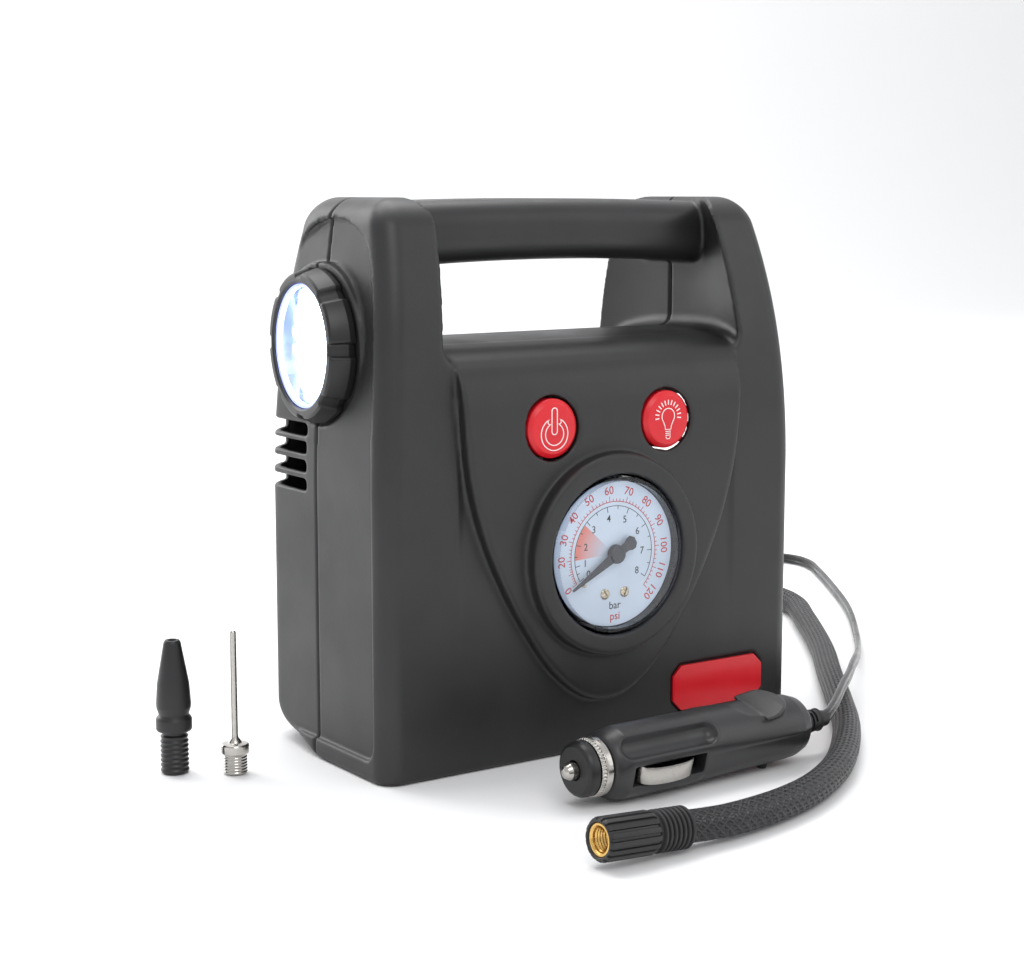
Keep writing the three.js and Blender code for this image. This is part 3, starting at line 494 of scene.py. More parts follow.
def housing_skin(x, y, z):
    """The housing's outer form as one solid."""
    t = np.clip((z - 100) / 100, 0, None)
    half = HALF_WIDTH - 9.5 * t ** 1.6
    front = FRONT - 16.9 * t ** 2.6
    waist = smooth_steps(62.5 - np.abs(x), 0, 3) * smooth_steps(z, 35, 105) * 0.8
    front = front - waist
    rear = REAR - 14 * t ** 2.6
    corner = np.where(y < 0, 8, 24)
    depth = np.where(y < 0, front, rear)
    along_x = np.abs(x) - half + corner
    along_y = np.abs(y) - depth + corner
    level = np.hypot(np.maximum(along_x, 0), np.maximum(along_y, 0)) + np.minimum(
        np.maximum(along_x, along_y), 0) - corner
    block = meet(level, z - HEIGHT, 10)
    block = meet(block, -z, 1.6 + 14 * smooth_steps(y, -6, 26))

    # Side panels sink behind a border that follows the front edge and arches over the top.
    border_y = -front + 8.5
    panel = meet(border_y - y, y - (rear - 13), 4)
    panel = meet(panel, meet(z - 193 + 0.014 * (y + 4) ** 2, 7 - z, 3), 6)
    panel = meet(panel, (half - 2.1) - np.abs(x), 0.6)
    block = carve(block, panel, 0.5)

    # Handle gap, with its floor on the crowned top of the body.
    crown = smooth_outline([(-54, 112), (-53.9, 118), (-52.9, 131), (-49.5, 140.5), (-42, 146.5),
                            (-28, 149.3), (-8, 150), (12, 149), (28, 145.5), (38, 138), (44.2, 127)])
    below = outline_distance([(-90, -30), (-90, 112)] + crown + [(90, 127), (90, -30)], y, z)
    toward_front = np.clip((-y - 4) / (front - 4), 0, 1.2)
    toward_rear = np.clip((y - 4) / (rear - 4), 0, 1.2)
    lip = 70 - (9.6 - 5 * np.clip((HEIGHT - z) / 50, 0, 1)) * toward_front ** 2.4 - 3 * toward_rear ** 2.4
    gap = meet(np.abs(x) - lip, -below, 5)
    body = carve(block, gap, 1.3)

    # Shield on the front, standing proud of the body.
    side = [(160, 61.5), (128, 61.5), (105, 59.3), (85, 54), (65, 45.3), (48, 35.5), (34, 25.5), (24.5, 15),
            (20.3, 7)]
    right = smooth_outline(side + [(19.3, 0)])
    outline = [(s, h) for h, s in right] + [(-s, h) for h, s in right[::-1]]
    draft = 0.08 * (y - SHIELD_Y)
    shield = meet(outline_distance(outline, x, z) - draft, SHIELD_Y - y, 1.8)
    shield = np.maximum(np.maximum(shield, below), y + 30)
    body = unite(body, shield, 0.6)

    # Raised round boss that carries the gauge.
    away = np.hypot(x, z - GAUGE_Z)
    surround = meet(away - SURROUND_R - 0.1 * (y - SURROUND_Y), SURROUND_Y - y, 1.3)
    body = unite(body, np.maximum(surround, y + 40), 0.9)

    # Carry handle between the pillars, a little arched.
    arch = (x / 66) ** 2
    grip_y = np.abs(y) - 22 + 9
    grip_z = np.abs(z - 188.4 + 1.6 * arch) - (11.1 + 0.4 * arch) + 9
    grip = (np.hypot(np.maximum(grip_y, 0), np.maximum(grip_z, 0))
            + np.minimum(np.maximum(grip_y, grip_z), 0) - 9)
    return unite(body, np.maximum(grip, np.abs(x) - 73), 1.6)


def rounded_slot(u, v, half_u, half_v):
    """Distance to a stadium-shaped slot centred on zero."""
    return np.hypot(np.maximum(np.abs(u) - half_u + half_v, 0), v) - half_v


def housing_shell(x, y, z):
    """The hollow housing with its holes and bosses."""
    skin = housing_skin(x, y, z)
    shell = carve(skin, skin + WALL, 0.3)
    lamp_r = np.hypot(y, z - LAMP_Z)
    seat = meet(lamp_r - 29.2, np.maximum(LAMP_SEAT_X - x, x - LAMP_SEAT_X - 4), 0.6)
    shell = unite(shell, seat, 0.8)
    shell = np.maximum(shell, -np.maximum(lamp_r - 28.2, x - LAMP_SEAT_X))
    shell = np.maximum(shell, -np.maximum(lamp_r - 20.5, x + 76))
    bosses = np.full_like(skin, 1e3)
    for sx, sz in SCREWS:
        bosses = np.minimum(bosses, np.hypot(x - sx, z - sz) - 4.9)
    shell = np.minimum(shell, np.maximum(bosses, skin + 1.0))
    for sx, sz in SCREWS:
        shell = carve(shell, np.maximum(np.hypot(x - sx, z - sz) - 3.7, 9 - y), 0.4)
    holes = [
        (np.hypot(x, z - GAUGE_Z) - 29.1, y + 38, 0.7),
        (np.hypot(x - BUTTON_X, z - BUTTON_Z) - 11.4, y + 38, 0.8),
        (np.hypot(x + BUTTON_X, z - BUTTON_Z) - 11.4, y + 38, 0.8),
        (np.hypot(x - GLAND[0], z - GLAND[1]) - 8.3, 34 - y, 0.4),
        (np.hypot(x - GROMMET[0], z - GROMMET[1]) - 5.2, 34 - y, 0.3),
    ]
    for across, deep, soft in holes:
        shell = carve(shell, np.maximum(across, deep), soft)
    for i in range(4):
        middle = 120 - 6.6 * i - 2.2
        vent = rounded_slot(y - 27, z - middle, 20, 2.2)
        shell = carve(shell, np.maximum(vent, 80 - np.abs(x)), 0.5)
    badge_x, badge_z = np.abs(x - 55) - 22.4, np.abs(z - 17.25) - 9.15
    badge = np.maximum(np.maximum(badge_x, badge_z), (badge_x + badge_z + 4) * 0.707)
    return carve(shell, np.maximum(badge, y + FRONT - 0.9), 0.3)


def surface_net(field, origin, step):
    """Vertices and quads of a sampled field's zero surface, one vertex in each crossed cell."""
    inside = field < 0
    cells = tuple(n - 1 for n in field.shape)
    total = np.zeros(cells, np.int8)
    for i in range(8):
        a, b, c = i & 1, i >> 1 & 1, i >> 2 & 1
        total += inside[a:a + cells[0], b:b + cells[1], c:c + cells[2]]
    crossed = (total > 0) & (total < 8)
    cell = np.argwhere(crossed)
    number = np.full(cells, -1)
    number[crossed] = np.arange(len(cell))
    where = np.zeros((len(cell), 3))
    weight = np.zeros(len(cell))
    for axis in range(3):
        one = np.eye(3, dtype=int)[axis]
        others = [np.eye(3, dtype=int)[k] for k in range(3) if k != axis]
        for a in (0, 1):
            for b in (0, 1):
                offset = a * others[0] + b * others[1]
                low = field[tuple((cell + offset).T)]
                high = field[tuple((cell + offset + one).T)]
                hit = (low < 0) != (high < 0)
                share = low[hit] / (low[hit] - high[hit])
                where[hit] += offset + share[:, None] * one
                weight[hit] += 1
    vertices = np.array(origin) + step * (cell + where / weight[:, None])
    faces = []
    for axis in range(3):
        b, c = (axis + 1) % 3, (axis + 2) % 3
        low = [slice(1, -1)] * 3
        low[axis] = slice(0, -1)
        high = list(low)
        high[axis] = slice(1, None)
        first, second = inside[tuple(low)], inside[tuple(high)]
        for flip, mask in ((False, first & ~second), (True, ~first & second)):
            at = np.argwhere(mask)
            at[:, b] += 1
            at[:, c] += 1
            unit_b, unit_c = np.eye(3, dtype=int)[b], np.eye(3, dtype=int)[c]
            corners = [at - unit_b - unit_c, at - unit_c, at, at - unit_b]
            quad = np.stack([number[tuple(p.T)] for p in corners], 1)
            faces.append(quad[:, ::-1] if flip else quad)
    return vertices, np.vstack(faces)


def relax(vertices, faces, rounds=3):
    """Evens out the sampling ripple without shrinking the shape."""
    starts = faces.ravel()
    ends = np.roll(faces, -1, axis=1).ravel()
    count = np.bincount(starts, minlength=len(vertices)) + np.bincount(ends, minlength=len(vertices))
    for i in range(2 * rounds):
        total = np.zeros_like(vertices)
        for k in range(3):
            total[:, k] = np.bincount(starts, vertices[ends, k], len(vertices))
            total[:, k] += np.bincount(ends, vertices[starts, k], len(vertices))
        share = 0.5 if i % 2 == 0 else -0.53
        vertices = vertices + share * (total / count[:, None] - vertices)
    return vertices


def add_shell(name, low_y, high_y, side):
    """One half of the housing, cut at the parting plane with a small rounded edge."""
    low, high = np.array((-95, low_y, -2.5)), np.array((95, high_y, 202.5))
    counts = np.ceil((high - low) / STEP).astype(int) + 1
    x = (low[0] + STEP * np.arange(counts[0]))[:, None, None]
    y = (low[1] + STEP * np.arange(counts[1]))[None, :, None]
    z = (low[2] + STEP * np.arange(counts[2]))[None, None, :]
    whole = housing_shell(x, y, z) + 0 * (x + y + z)
    half = meet(whole, side * (-y) + 0.15, 0.45)
    vertices, faces = surface_net(half, low, STEP)
    vertices = relax(vertices, faces)
    piece = new_piece(name + "_moulding", vertices, faces, housing_plastic, replaces=[name],
                      slot="housing_plastic", sharp=180)
    return piece


add_shell("front_shell", -62.0, 3.5, -1)
add_shell("rear_shell", -3.5, 47.5, 1)


# ---------- flat marks ----------
class Marks:
    """Thin raised marks on a flat face, drawn in its own (right, up) millimetres and built as one piece."""

    def __init__(self, thick=0.12):
        self.thick = thick
        self.vertices = []
        self.faces = []

    def solid(self, outline):
        """A closed outline, anticlockwise, as a thin plate."""
        start, count = len(self.vertices), len(outline)
        for w in (self.thick, -self.thick):
            self.vertices.extend((u, v, w) for u, v in outline)
        self.faces.append([start + i for i in range(count)])
        self.faces.append([start + count + i for i in reversed(range(count))])
        for i in range(count):
            j = (i + 1) % count
            self.faces.append([start + j, start + i, start + count + i, start + count + j])

    def stroke(self, points, width, closed=False):
        """A line of that width through the points."""
        line = np.array(points, float)
        ahead = np.roll(line, -1, 0) - line
        behind = line - np.roll(line, 1, 0)
        if not closed:
            ahead[-1], behind[0] = behind[-1], ahead[0]
        unit = lambda v: v / np.linalg.norm(v, axis=1)[:, None]
        along = unit(unit(ahead) + unit(behind))
        side = np.stack([-along[:, 1], along[:, 0]], 1) * width / 2
        pairs = range(len(line) if closed else len(line) - 1)
        for i in pairs:
            j = (i + 1) % len(line)
            self.solid([line[i] - side[i], line[j] - side[j], line[j] + side[j], line[i] + side[i]])

    def text(self, words, size, at, turn=0.0):
        """Generic numbers or unit names, centred at the place and turned by an angle."""
        curve = bpy.data.curves.new("words", "FONT")
        curve.body, curve.size = words, size
        curve.align_x, curve.align_y = "CENTER", "CENTER"
        curve.resolution_u = 3
        curve.offset = 0.004 * size
        curve.extrude = self.thick
        holder = bpy.data.objects.new("words", curve)
        mesh = bpy.data.meshes.new_from_object(holder)
        start = len(self.vertices)
        c, s = math.cos(turn), math.sin(turn)
        for vertex in mesh.vertices:
            u, v, w = vertex.co
            self.vertices.append((at[0] + c * u - s * v, at[1] + s * u + c * v, w))
        self.faces.extend([start + i for i in polygon.vertices] for polygon in mesh.polygons)
        bpy.data.objects.remove(holder)
        bpy.data.meshes.remove(mesh)
        bpy.data.curves.remove(curve)

    def build(self, name, centre, front_y, material, **extra):
        u, v, w = np.array(self.vertices).T
        points = np.stack([u + centre[0], front_y - w, v + centre[1]], 1)
        return new_piece(name, points, self.faces, material, smooth=False, **extra)


def arc_points(radius, start, stop, steps, centre=(0, 0)):
    """Points on an arc between two angles in degrees."""
    return [(centre[0] + radius * math.cos(math.radians(a)), centre[1] + radius * math.sin(math.radians(a)))
            for a in np.linspace(start, stop, steps)]


# ---------- push buttons ----------
BUTTON_FACE_Y = -54.6
STROKE = 0.34


def power_symbol():
    """An outlined broken ring with a bar through its gap."""
    marks = Marks()
    centre = (0, -1.9)
    gap, outer, inner, cap = 24, 5.7, 3.9, 0.9

    def middle_of_band(angle):
        return arc_points(outer - cap, angle, angle, 1, centre)[0]

    ring = arc_points(outer, 90 + gap, 450 - gap, 40, centre)
    ring += arc_points(cap, 90 - gap, -90 - gap, 7, middle_of_band(90 - gap))[1:-1]
    ring += arc_points(inner, 450 - gap, 90 + gap, 34, centre)
    ring += arc_points(cap, 270 + gap, 90 + gap, 7, middle_of_band(90 + gap))[1:-1]
    marks.stroke(ring, STROKE, closed=True)
    half, top, low = 1.15, 6.2, -0.9
    bar = arc_points(half, 0, 180, 9, (0, top)) + arc_points(half, 180, 360, 9, (0, low))
    marks.stroke(bar, STROKE, closed=True)
    return marks


def bulb_symbol():
    """An outlined light bulb with short rays over it."""
    marks = Marks()
    head = (0, 1.2)
    outline = arc_points(2.9, -38, 218, 24, head) + [(-1.5, -2.2), (-1.25, -3.6), (1.25, -3.6), (1.5, -2.2)]
    marks.stroke(outline, STROKE, closed=True)
    for z in (-4.3, -5.0, -5.7):
        marks.stroke([(-1.2, z), (1.2, z)], 0.3)
    marks.stroke(arc_points(1.0, 180, 360, 7, (0, -6.1)), 0.3)
    for angle in np.linspace(-8, 188, 13):
        marks.stroke([arc_points(r, angle, angle, 1, head)[0] for r in (4.2, 6.0)], 0.42)
    return marks


def add_button(name, x, symbol):
    profile = [(0, BUTTON_FACE_Y), (8.9, BUTTON_FACE_Y + 0.1), (10.5, BUTTON_FACE_Y + 1.5), (10.6, -47.6),
               (2.6, -47.6), (2.6, -45), (0, -45)]
    turned(name + "_cap", "y", profile, button_red, at=(x, 0, BUTTON_Z), radius=0.9, body=name,
           replaces=[name], slot="red_plastic")
    symbol.build(name + "_symbol", (x, BUTTON_Z), BUTTON_FACE_Y, print_pale, body=name, slot="red_plastic")


add_button("power_button", -BUTTON_X, power_symbol())
add_button("light_button", BUTTON_X, bulb_symbol())


# ---------- pressure gauge ----------
DIAL_Y = -55.8
DIAL_FRONT = (0, 0, GAUGE_Z)
PSI_PER_BAR = 14.504
# The scale is crowded near zero and even after about 30 psi.
SCALE_PSI = [0, 14.5, 20, 29, 43.5, 58, 72.5, 87, 101.5, 116, 120]
SCALE_ANGLE = [210, 191, 182.5, 164.8, 133.6, 100.1, 67.3, 33.5, -0.8, -34.4, -43]


def psi_angle(psi):
    return float(np.interp(psi, SCALE_PSI, SCALE_ANGLE))


def on_dial(radius, angle):
    return radius * math.cos(math.radians(angle)), radius * math.sin(math.radians(angle))


def radial_tick(marks, inner, outer, angle, width):
    marks.stroke([on_dial(inner, angle), on_dial(outer, angle)], width)


def add_dial():
    turned("dial_plate", "y", [(0, DIAL_Y + 0.8), (26.2, DIAL_Y + 0.8), (26.5, DIAL_Y), (24.8, DIAL_Y),
                               (0, DIAL_Y)],
           dial_face, at=DIAL_FRONT, radius=0.1, replaces=["gauge_dial"], slot="dial_white")
    red = Marks(0.05)
    red.stroke(arc_points(18.9, psi_angle(0), psi_angle(120), 90), 0.26)
    for psi in range(0, 121, 2):
        radial_tick(red, 18.9, 20.8 if psi % 10 == 0 else 19.9, psi_angle(psi), 0.24)
    for psi in range(0, 121, 10):
        if psi != 10:
            angle = psi_angle(psi)
            red.text(str(psi), 4.2, on_dial(22.9, angle), math.radians(angle - 90))
    red.text("psi", 4.2, (0.8, -23.0))
    red.build("dial_psi_marks", (0, GAUGE_Z), DIAL_Y, print_red, slot="dial_white")

    black = Marks(0.05)
    black.stroke(arc_points(17.3, psi_angle(0), psi_angle(8 * PSI_PER_BAR), 80), 0.24)
    for half in range(17):
        angle = psi_angle(half / 2 * PSI_PER_BAR)
        radial_tick(black, 15.2 if half % 2 == 0 else 16.1, 17.3, angle, 0.26)
        if half % 2 == 0:
            black.text(str(half // 2), 3.7, on_dial(12.9, angle))
    black.text("bar", 4.0, (0.7, -19.0))
    black.build("dial_bar_marks", (0, GAUGE_Z), DIAL_Y, print_black, slot="dial_white")

    # Tinted low-pressure sector, fading towards the middle.
    fade = Shader("dial_sector", PRINT_RED, 0.5)
    away = fade.node("VectorMath", operation="DISTANCE")
    fade.links.new(fade.place, away.inputs[0])
    away.inputs[1].default_value = (0, DIAL_Y * MM, GAUGE_Z * MM)
    share = fade.between(away.outputs["Value"], 0, 1, 0.004, 0.0168)
    fade.tint(share, (0.6, 0.66, 0.74), (0.78, 0.2, 0.14))
    sector = Marks(0.025)
    start, stop = psi_angle(2.85 * PSI_PER_BAR), psi_angle(1.35 * PSI_PER_BAR)
    sector.solid([(0, 0)] + arc_points(17.1, start, stop, 22))
    sector.build("dial_sector_mark", (0, GAUGE_Z), DIAL_Y, fade.material, slot="dial_white")


def add_needle():
    turn = math.radians(psi_angle(0))
    c, s = math.cos(turn), math.sin(turn)
    blade = [(22.6, -0.3), (22.6, 0.3), (3.4, 1.6), (-3.4, 1.6), (-5, 1.7), (-6.4, 2.5), (-8, 2.5),
             (-9.2, 1.2), (-9.2, -1.2), (-8, -2.5), (-6.4, -2.5), (-5, -1.7), (-3.4, -1.6), (3.4, -1.6)]
    plate = Marks(0.35)
    plate.solid([(c * u - s * v, s * u + c * v) for u, v in blade][::-1])
    plate.build("needle_blade", (0, GAUGE_Z), -58.1, needle_black, body="gauge_needle",
                replaces=["gauge_needle"], slot="black_plastic")
    turned("needle_hub", "y", [(0, -59.2), (2.9, -59.15), (3.3, -58.8), (3.5, -57.4), (3.5, -56.6),
                               (1.2, -56.6), (1.2, -51), (0, -51)], needle_black, at=DIAL_FRONT, radius=0.5,
                               body="gauge_needle",
           slot="black_plastic")


def slotted_head(radius, rise, slot_width, slots=1):
    """Points and faces of a domed screw head about +Z with one slot or a cross."""
    radii = np.concatenate([np.linspace(0.12, radius * 0.92, 12), [radius, radius]])
    heights = np.concatenate([rise * np.sqrt(1 - (radii[:12] / radius * 0.8) ** 2), [rise * 0.45, 0]])
    vertices, faces = lathe([(0, heights[0])] + list(zip(radii, heights)), 48)
    vertices = np.array(vertices, float)
    x, y, z = vertices.T
    depth = 0.45 * rise + 0.25
    for flat in (x, y)[:slots]:
        z[(np.abs(flat) < slot_width) & (np.hypot(x, y) < radius * 0.86)] = rise - depth
    return vertices, [face[::-1] for face in faces]


def add_dial_screws():
    for name, x in (("left", -3.8), ("right", 5.0)):
        vertices, faces = slotted_head(1.9, 0.7, 0.3)
        spin = math.radians(35 if x < 0 else -20)
        c, s = math.cos(spin), math.sin(spin)
        x0, y0, z0 = vertices.T
        points = np.stack([c * x0 - s * y0 + x, DIAL_Y - z0, s * x0 + c * y0 + GAUGE_Z - 14.5], 1)
        new_piece(f"dial_screw_{name}", points, faces, screw_metal, slot="brass")
    place_at = on_dial(17.6, 214.5)
    turned("needle_stop_pin", "y",
           [(0, -58.6), (0.55, -58.6), (0.6, -58.2), (0.6, DIAL_Y + 0.2), (0, DIAL_Y + 0.2)], screw_metal,
           at=(place_at[0], 0, GAUGE_Z + place_at[1]), radius=0.15, steps=24, slot="brass")


def add_gauge_lens():
    turned("gauge_window", "y", [(0, -60.5), (24, -60.4), (26.4, -60.1), (26.4, -59.6), (24, -59.8),
                                 (0, -59.9)],
           clear_lens, at=DIAL_FRONT, radius=0.2, replaces=["gauge_lens"], slot="clear_plastic")
    rim = [(26.7, -56.2), (26.7, -59.7), (26.9, -60.1), (27.4, -60.2), (28.2, -59.5), (28.2, -51.6),
           (26.7, -51.6), (26.7, -56.2)]
    turned("gauge_lens_rim", "y", rim, rim_clear, at=DIAL_FRONT, radius=0.3, slot="clear_plastic")


add_dial()
add_needle()
add_dial_screws()
add_gauge_lens()


# ---------- badge: a plain plate ----------
def add_badge():
    plate = Marks(0.75)
    half_x, half_z, cut = 21.8, 8.6, 4
    outline = [(-half_x + cut, -half_z), (half_x - cut, -half_z), (half_x, -half_z + cut),
               (half_x, half_z - cut), (half_x - cut, half_z), (-half_x + cut, half_z),
               (-half_x, half_z - cut), (-half_x, -half_z + cut)]
    plate.solid(outline)
    piece = plate.build("badge_face", (55, 17.25), -49.3, badge_red, replaces=["badge_plate"],
                        slot="red_plastic")
    soften(piece, 0.35)


def soften(piece, width, segments=3, angle=30):
    """Rounds a piece's edges with a bevel, in millimetres, applied to its mesh."""
    bevel = piece.modifiers.new("soft_edges", "BEVEL")
    bevel.width = width * MM
    bevel.segments = segments
    bevel.limit_method = "ANGLE"
    bevel.angle_limit = math.radians(angle)
    bevel.harden_normals = False
    shown = bpy.context.evaluated_depsgraph_get()
    mesh = bpy.data.meshes.new_from_object(piece.evaluated_get(shown))
    piece.modifiers.clear()
    piece.data = mesh
    mesh.shade_smooth()
    mesh.set_sharp_from_angle(angle=math.radians(40))


add_badge()


# ---------- side lamp ----------
LAMP_AT = (LAMP_SEAT_X, 0, LAMP_Z)


def add_lamp():
    lobes = 8

    def rim(turn, r, z):
        part = (turn / (2 * math.pi) * lobes) % 1
        notch = min(1, max(0, (abs(part - 0.5) - 0.36) / 0.05))
        return 1 - 0.05 * notch * notch * (3 - 2 * notch) * (r > 24)

    def seated(points):
        """Turned to face -X, with the front leaning a little to the rear while the back stays on its seat."""
        u, v, w = np.array(points, float).T
        lean = 0.07 * u * np.clip(w / 8.7, 0, 1)
        return np.stack([LAMP_AT[0] - 0.93 * w + lean, LAMP_AT[1] + u, LAMP_AT[2] + v], 1)

    bezel = [(21.9, 0.3), (27.4, 0.3), (27.4, 2.4), (25.6, 7.9), (24.9, 8.6), (22.6, 8.7), (22.0, 8.0),
             (21.9, 0.3)]
    vertices, faces = lathe(fillet(bezel, 0.5), 320, rim)
    new_piece("lamp_bezel_ring", seated(vertices), faces, black_plastic, replaces=["lamp_bezel"],
              slot="black_plastic")

    def facing(name, profile, material, **extra):
        made, sides = lathe(fillet(profile, 0.2), 96)
        new_piece(name, seated(made), sides, material, **extra)

    facing("lamp_window", [(0, 8.0), (21, 7.4), (21.7, 7.0), (21.7, 6.4), (21, 6.5), (0, 7.2)], lamp_clear,
           replaces=["lamp_lens"], slot="lamp_lens")
    facing("lamp_lens_rim", [(20.6, 6.9), (21.8, 7.3), (21.8, 4.2), (20.9, 4.2), (20.6, 6.9)], lamp_blue,
           slot="lamp_lens")
    facing("lamp_reflector_cone",
           [(19.2, -3.6), (21.4, 4.0), (21.8, 4.0), (21.6, -3.9), (19.2, -4), (19.2, -3.6)], reflector_metal,
           replaces=["lamp_reflector"], slot="bright_metal")
    facing("led_plate", [(0, -3.9), (19, -3.9), (19, -5.2), (0, -5.2)], lamp_white, replaces=["led_board"],
           slot="led_light")
    facing("led_carrier", [(0, -5.3), (20.2, -5.3), (20.2, -6.3), (0, -6.3)], black_plastic,
           slot="black_plastic")
    for ring, many in ((0, 1), (4.4, 6), (8.6, 12), (12.7, 18), (16.6, 24)):
        for i in range(many):
            angle = 2 * math.pi * (i + 0.5 * (many > 12)) / many
            dome = [(0, 0.9), (0.7, 0.75), (1.3, 0.2), (1.5, -0.6), (1.5, -4.1), (0, -4.1)]
            bulb, sides = lathe(dome, 14)
            spot = np.array(bulb) + np.array((ring * math.cos(angle), ring * math.sin(angle), 0))
            new_piece(f"led_{ring:g}_{i}".replace(".", "_"), seated(spot), sides,
                      led_bright, slot="led_light")


add_lamp()


# ---------- air fittings and adapters ----------
CHUCK_AT = (-48, -155.4, 7.3)
CHUCK_TURN = Matrix.Rotation(math.radians(3.5), 3, "Y")


def add_chuck():
    lay = {"at": CHUCK_AT, "turn": CHUCK_TURN}
    ribs = [(0, 0.4), (5.6, 0.4), (5.9, 0)]
    for i in range(7):
        middle = -1.2 - 1.78 * i
        ribs += [(5.7, middle + 0.85), (6.8, middle + 0.4), (6.8, middle - 0.4), (5.7, middle - 0.85)]
    ribs += [(5.7, -13.4), (0, -13.4)]
    turned("hose_boot_bellows", "x", ribs, rubber, radius=0.3, replaces=["hose_boot"], slot="rubber", **lay)
    flutes = 16

    def fluted(turn, r, z):
        part = (turn / (2 * math.pi) * flutes) % 1
        groove = min(1, max(0, (0.2 - abs(part - 0.5)) / 0.06))
        return 1 - 0.09 * groove * (r > 6.2)

    collar = [(5.2, -18.5), (5.2, -32.8), (5.5, -33.6), (6.3, -33.6), (7.0, -32.6), (7.0, -15), (6.5, -13.7),
              (0, -13.7), (0, -18.5), (5.2, -18.5)]
    turned("chuck_collar_grip", "x", collar, black_plastic, radius=0.35, steps=224, wave=fluted,
           body="hose_chuck", replaces=["chuck_collar"], slot="black_plastic", **lay)
    thread = [(5.1, -19), (5.1, -33.1), (4.4, -33.1), (4.0, -32.6)]
    for i in range(12):
        at = -32 + 1.05 * i
        thread += [(3.85, at), (4.35, at + 0.5)]
    thread += [(3.85, -19), (5.1, -19)]
    turned("chuck_thread", "x", thread, brass, radius=0.12, body="hose_chuck", replaces=["chuck_insert"],
           slot="brass", **lay)
    turned("chuck_valve_pin", "x",
           [(0, -18.8), (3.9, -18.8), (3.9, -20.2), (1.0, -20.6), (0.9, -26), (0, -26.3)], brass, radius=0.2,
           body="hose_chuck", slot="brass", **lay)


def add_adapters():
    screw = [(0, 0), (4.3, 0), (4.8, 0.5)]
    for i in range(7):
        screw += [(5.0, 1.3 + 1.7 * i), (4.45, 2.1 + 1.7 * i)]
    nozzle = screw + [(4.9, 13.4), (4.1, 14), (4.1, 15), (6.0, 15.3), (6.3, 16), (6.3, 19.4), (5.9, 20.2),
                      (5.2, 21), (6.0, 23.5), (6.1, 25), (5.6, 32), (3.0, 46.6), (2.5, 47.5), (1.5, 47.5),
                      (1.4, 44), (0, 44)]
    turned("tapered_nozzle", "z", nozzle, black_plastic, at=(-142, 11, 0), radius=0.3, body="nozzle_adapter",
           replaces=["nozzle_adapter"], slot="black_plastic")
    needle = [(0, 0), (3.6, 0), (4.0, 0.4)]
    for i in range(6):
        needle += [(4.25, 0.8 + 1.05 * i), (3.85, 1.3 + 1.05 * i)]
    needle += [(4.2, 7.2), (4.9, 7.5), (4.9, 10.2), (4.5, 10.8), (2.4, 11.1), (1.9, 12), (1.25, 12.8),
               (1.1, 14), (1.08, 50.4), (0.8, 51), (0, 51)]
    turned("inflating_needle", "z", needle, nickel, at=(-125, -2, 0), radius=0.25, body="ball_needle",
           replaces=["ball_needle"], slot="nickel")


def add_outlets():
    gland = [(0, 32), (7.9, 32), (7.9, 45.3), (10.5, 45.4), (10.5, 48.4), (9.2, 49.4)]
    for i in range(3):
        gland += [(8.3 - 0.25 * i, 50.0 + 1.8 * i), (8.2 - 0.25 * i, 51.0 + 1.8 * i), (7.2, 51.2 + 1.8 * i)]
    gland += [(7.0, 56), (0, 56)]
    turned("hose_gland_nut", "y", gland, black_plastic, at=(GLAND[0], 0, GLAND[1]), radius=0.4,
           replaces=["hose_gland"], slot="black_plastic")
    relief = [(0, 41.5), (4.9, 41.5), (4.9, 45.3), (7.1, 45.4), (7.2, 47.3), (6.4, 48.2)]
    for i in range(7):
        reach = 5.2 - 0.22 * i
        steps = ((0, 49), (0, 50.2), (1.2, 50.5), (1.2, 51.2))
        relief += [(reach - drop, along + 2.4 * i) for drop, along in steps]
    relief += [(3.0, 66), (0, 66)]
    turned("lead_strain_relief", "y", relief, rubber, at=(GROMMET[0], 0, GROMMET[1]), radius=0.3,
           replaces=["lead_grommet"], slot="rubber")


def add_case_screws():
    for i, (x, z) in enumerate(SCREWS):
        vertices, faces = slotted_head(3.2, 2.0, 0.42, slots=2)
        x0, y0, z0 = vertices.T
        new_piece(f"case_screw_{i + 1}_head", np.stack([x - x0, 9.3 + z0, z + y0], 1), faces, steel,
                  replaces=[f"case_screw_{i + 1}"], slot="steel")


add_chuck()
add_adapters()
add_outlets()
add_case_screws()


# ---------- vehicle plug ----------
PLUG_AT = (-56.2, -102.6, 13)
PLUG_TURN = Matrix.Rotation(math.radians(1.2), 3, "Z") @ Matrix.Rotation(math.radians(14), 3, "X")
CONTACT_FROM, CONTACT_TO = 23, 49


